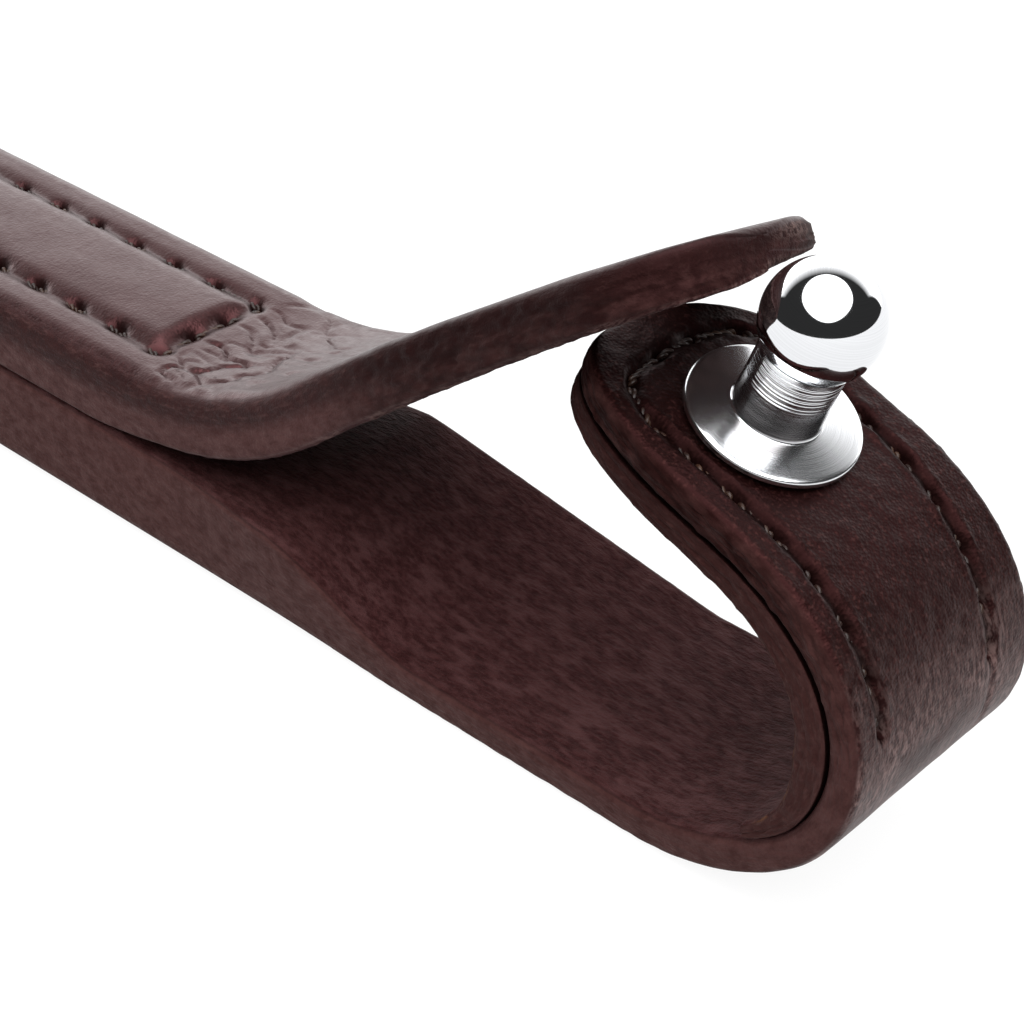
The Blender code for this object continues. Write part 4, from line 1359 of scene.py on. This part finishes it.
def metal(name, colour, ball_gloss, flat_gloss, flange_gloss, ring_depth):
    """Turned metal: polished, with the lathe's fine rings on flat and cylindrical faces."""
    material, nodes, shader = new_material(name)
    radius, height, _ = nodes.parts(nodes.attribute("turning"))
    ring_place = {0: nodes.times(radius, LATHE_RINGS), 1: nodes.times(height, LATHE_RINGS)}
    marks = nodes.noise(nodes.add("CombineXYZ", ring_place).outputs[0], 2.0, 0.6)
    below_ball = nodes.fit(height, (BALL_CENTRE - 0.0022, BALL_CENTRE - 0.0018), 1.0, 0.0)
    place = nodes.add("TexCoord").outputs["Object"]
    smears = nodes.noise(nodes.scaled(place, METAL_SMEARS))
    polish = nodes.fit(smears, NOISE_SPAN, ball_gloss, ball_gloss + 0.03)
    ground = nodes.fit(marks, NOISE_SPAN, flat_gloss - 0.05, flat_gloss + 0.08)
    on_flange = nodes.fit(height, (NECK_FOOT + 0.00001, NECK_FOOT + 0.00007), 1.0, 0.0)
    gloss = nodes.between(on_flange, nodes.between(below_ball, polish, ground), flange_gloss)

    dull = rgb(*(0.9 * part for part in colour))
    tint = nodes.blend(nodes.fit(marks, NOISE_SPAN), dull, rgb(*colour))
    # Painted reflection: the lower neck is darkened to a dark grey in its base colour.
    above_foot = nodes.fit(height, (NECK_FOOT + 0.00003, NECK_FOOT + 0.0002), 0.0, 0.8)
    dark_neck_reflection = nodes.times(above_foot, nodes.fit(height, (0.0022, 0.0030), 1.0, 0.0))
    nodes.shade(shader, {
        "Base Color": nodes.blend(dark_neck_reflection, tint, NECK_REFLECTION),
        "Metallic": 1.0,
        "Roughness": gloss,
        "Normal": nodes.bump(nodes.times(marks, below_ball), 0.6, ring_depth),
    })
    return material


def waxed_thread():
    material, nodes, shader = new_material("waxed_brown_thread")
    place = nodes.add("TexCoord").outputs["Object"]
    fuzz = nodes.noise(nodes.scaled(place, THREAD_FUZZ))
    patches = nodes.noise(nodes.scaled(place, THREAD_PATCHES), 2.0)
    base = nodes.blend(nodes.fit(fuzz, (0.35, 0.7)), THREAD_DARK, THREAD_LIGHT)
    nodes.shade(shader, {
        "Base Color": nodes.blend(nodes.fit(patches, (0.5, 0.7), 0.0, 0.5), base, THREAD_WORN),
        "Roughness": nodes.fit(fuzz, NOISE_SPAN, 0.34, 0.55),
        "Specular IOR Level": 0.3,
        "Normal": nodes.bump(fuzz, 0.6, 0.00003),
    })
    return material


# Colour of the painted dark reflection on the lower neck
NECK_REFLECTION = rgb(0.16, 0.14, 0.135)
THREAD_DARK = rgb(0.008, 0.0030, 0.0024)
THREAD_LIGHT = rgb(0.020, 0.0090, 0.0065)
THREAD_WORN = rgb(0.060, 0.026, 0.012)

# Spans run from the grain face to the back, through the edge
UPPER_LOOK = {
    "grain_dark": rgb(0.0026, 0.0007, 0.0006),
    "grain_light": rgb(0.0062, 0.0020, 0.0018),
    "grain_fleck": rgb(0.013, 0.0055, 0.0050),
    "flesh_dark": rgb(0.0050, 0.0015, 0.0015),
    "flesh_light": rgb(0.010, 0.0036, 0.0034),
    "flesh_streak": rgb(0.018, 0.0080, 0.0076),
    "edge_top": rgb(0.008, 0.0026, 0.0024),
    "edge_low": rgb(0.046, 0.0200, 0.0185),
    "edge_mark": rgb(0.022, 0.0085, 0.0078),
    "edge_streak": rgb(0.062, 0.0310, 0.0285),
    # Edge dye colour, also the painted shade towards the arm's tip
    "edge_dyed_and_shaded": rgb(0.0060, 0.0018, 0.0016),
    "edge_span": (0.40, 0.60),
    "joint_shade_span": None,
    # Painted shade colour of troughs, pits, glued faces and joints
    "painted_shade": rgb(0.0025, 0.0009, 0.0008),
    # Pale colour of wear, and of the painted sheen at the tongue's tip
    "pale_rub_and_sheen": rgb(0.095, 0.062, 0.056),
    "fleck_cells": (6500, 6500, 6500),
    "pores": 0.26,
    "gloss": (0.28, 0.42),
    "ior": 1.52,
    "specular_tint": rgb(1.0, 0.40, 0.42),
}
LOWER_LOOK = {
    **UPPER_LOOK,
    "grain_light": rgb(0.0050, 0.0012, 0.0011),
    "grain_fleck": rgb(0.026, 0.0095, 0.0085),
    "flesh_dark": rgb(0.0075, 0.0022, 0.0022),
    "flesh_light": rgb(0.026, 0.0100, 0.0100),
    "flesh_streak": rgb(0.044, 0.0200, 0.0200),
    "edge_top": rgb(0.042, 0.0185, 0.0170),
    "edge_span": (0.0, 0.25),
    # Painted shade towards the edge's back, next to the lining
    "joint_shade_span": (0.72, 0.95),
    # Colour of the painted sheen on the loop's bend
    "pale_rub_and_sheen": rgb(0.150, 0.098, 0.091),
    "fleck_cells": (3600, 3600, 3600),
    "pores": 0.50,
    "gloss": (0.44, 0.50),
    "ior": 1.38,
    "specular_tint": rgb(1.0, 0.36, 0.36),
}
LINING_LOOK = {
    **LOWER_LOOK,
    "edge_low": rgb(0.026, 0.0105, 0.0095),
    # Painted shade towards the edge's face, next to the arm
    "joint_shade_span": (0.28, 0.05),
    "pale_rub_and_sheen": rgb(0.11, 0.050, 0.022),
}


# Studio

def window(nodes, value, start, end, softness):
    """1 between two angles and 0 outside, with a soft border at each."""
    rise = nodes.fit(value, (start - softness[0], start + softness[0]))
    fall = nodes.fit(value, (end - softness[1], end + softness[1]), 1.0, 0.0)
    return nodes.times(rise, fall)


def oval(nodes, first, second, middle, reach):
    """1 inside an oval of two angles and 0 outside, with a soft border."""
    along = nodes.maths("DIVIDE", nodes.maths("SUBTRACT", first, middle[0]), reach[0])
    beside = nodes.maths("DIVIDE", nodes.maths("SUBTRACT", second, middle[1]), reach[1])
    squares = nodes.maths("MULTIPLY_ADD", along, along, nodes.times(beside, beside))
    return nodes.fit(squares, (0.92, 1.08), 1.0, 0.0)


def studio():
    """Soft studio light from a large overhead softbox and a low white panel behind."""
    world = bpy.data.worlds.new("studio")
    world.use_nodes = True
    bpy.context.scene.world = world
    world.node_tree.nodes.clear()
    nodes = Nodes(world.node_tree)
    direction = nodes.add("TexCoord").outputs["Generated"]
    turn = {"Vector": direction, "Angle": pi / 2 - CAMERA_AZIMUTH}
    turned_to_camera = nodes.add("VectorRotate", turn, rotation_type="Z_AXIS").outputs[0]
    ahead, aside, up = nodes.parts(turned_to_camera)
    over = nodes.maths("ARCTAN2", up, ahead)
    over = nodes.maths("ADD", over, nodes.times(nodes.maths("LESS_THAN", over, -pi / 2), 2 * pi))
    beside = nodes.maths("ARCSINE", aside)
    softbox = oval(nodes, over, beside, (SOFTBOX_MIDDLE, 0.0), (SOFTBOX_REACH, SOFTBOX_SIDE))
    patch = oval(nodes, over, beside, (PATCH_MIDDLE, PATCH_ASIDE), (PATCH_REACH, PATCH_REACH))
    panel = nodes.times(
        window(nodes, over, BACK_PANEL_START, BACK_PANEL_END, (BACK_PANEL_FADE, CRISP_BORDER)),
        window(nodes, beside, -BACK_PANEL_SIDE, BACK_PANEL_SIDE, (CRISP_BORDER, CRISP_BORDER)),
    )
    light = ROOM_LIGHT
    for shape, strength in ((softbox, SOFTBOX_LIGHT), (panel, BACK_PANEL_LIGHT), (patch, PATCH_LIGHT)):
        light = nodes.maths("MULTIPLY_ADD", shape, strength, light)
    seen = nodes.add("LightPath").outputs["Is Camera Ray"]
    lit = nodes.add("Background", {"Color": WHITE, "Strength": light}).outputs[0]
    plain = nodes.add("Background", {"Color": WHITE, "Strength": 1.0}).outputs[0]
    both = nodes.add("MixShader", {0: seen, 1: lit, 2: plain}).outputs[0]
    nodes.put(both, nodes.add("OutputWorld").inputs["Surface"])

    material, nodes, shader = new_material("white_floor")
    nodes.shade(shader, {
        "Base Color": rgb(0.08, 0.08, 0.08),
        "Roughness": 0.9,
        "Emission Color": WHITE,
        "Emission Strength": FLOOR_LIGHT,
    })
    points = [(x, y, 0.0) for x, y in circle(FLOOR_RADIUS, FLOOR_SIDES)]
    new_object("floor", points, [tuple(range(FLOOR_SIDES))], material)


def camera():
    lens = bpy.data.cameras.new("camera")
    lens.lens = CAMERA_LENS
    lens.sensor_width = SENSOR_WIDTH
    lens.clip_start = 0.001
    made = bpy.data.objects.new("camera", lens)
    made.location = CAMERA_PLACE
    made.rotation_euler = CAMERA_TURN
    bpy.context.scene.collection.objects.link(made)
    bpy.context.scene.camera = made
    bpy.context.scene.view_settings.view_transform = "Standard"


def stitches(material):
    """The four threads of the two seams, with the nodes that they stand for."""
    courses = (
        ("strap_needle", STRAP_SEAM, upper_point, lambda distance: STRAP_THREAD_DEPTH, -1, 2),
        ("strap_bobbin", STRAP_SEAM, lower_point, lambda distance: STRAP_BOBBIN_DEPTH, -1, 3),
        ("loop_needle", ARM_SEAM, lower_point, arm_thread_depth, -1, 3),
        ("loop_bobbin", ARM_SEAM, lower_point, arm_bobbin_depth, 1, 3),
    )
    pieces = []
    for name, seam, point, depth, outward, rounds in courses:
        course = stitch_course(seam.stitches, point, depth, outward, rounds)
        piece = twisted_thread(name + "_stitches", course, material)
        pieces.append((piece, name + "_thread", "waxed_brown_thread"))
    return pieces


def dress():
    """Makes every piece, hangs it on the root body and hides the part that it replaces."""
    upper_leather = leather("dark_brown_leather", UPPER_LOOK)
    lower_leather = leather("dark_brown_leather_loop", LOWER_LOOK)
    lining = leather("brown_lining_leather", LINING_LOOK)
    chrome = metal("polished_chrome", (0.80, 0.81, 0.83), 0.03, 0.09, 0.19, 0.000010)
    steel = metal("turned_steel", (0.58, 0.58, 0.59), 0.28, 0.28, 0.28, 0.00002)
    pieces = [
        (upper_strap(upper_leather), "upper_strap", "dark_brown_leather"),
        (lower_strap(lower_leather), "lower_strap", "dark_brown_leather"),
        (loop_lining(lining), "loop_lining", "brown_lining_leather"),
        (ball_stud(chrome), "ball_stud", "polished_chrome"),
        (stud_screw(steel), "stud_screw", "turned_steel"),
    ]
    for piece, stands_for, slot in pieces + stitches(waxed_thread()):
        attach(piece, "root")
        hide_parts(stands_for)


camera()
studio()
dress()
bpy.context.view_layer.update()
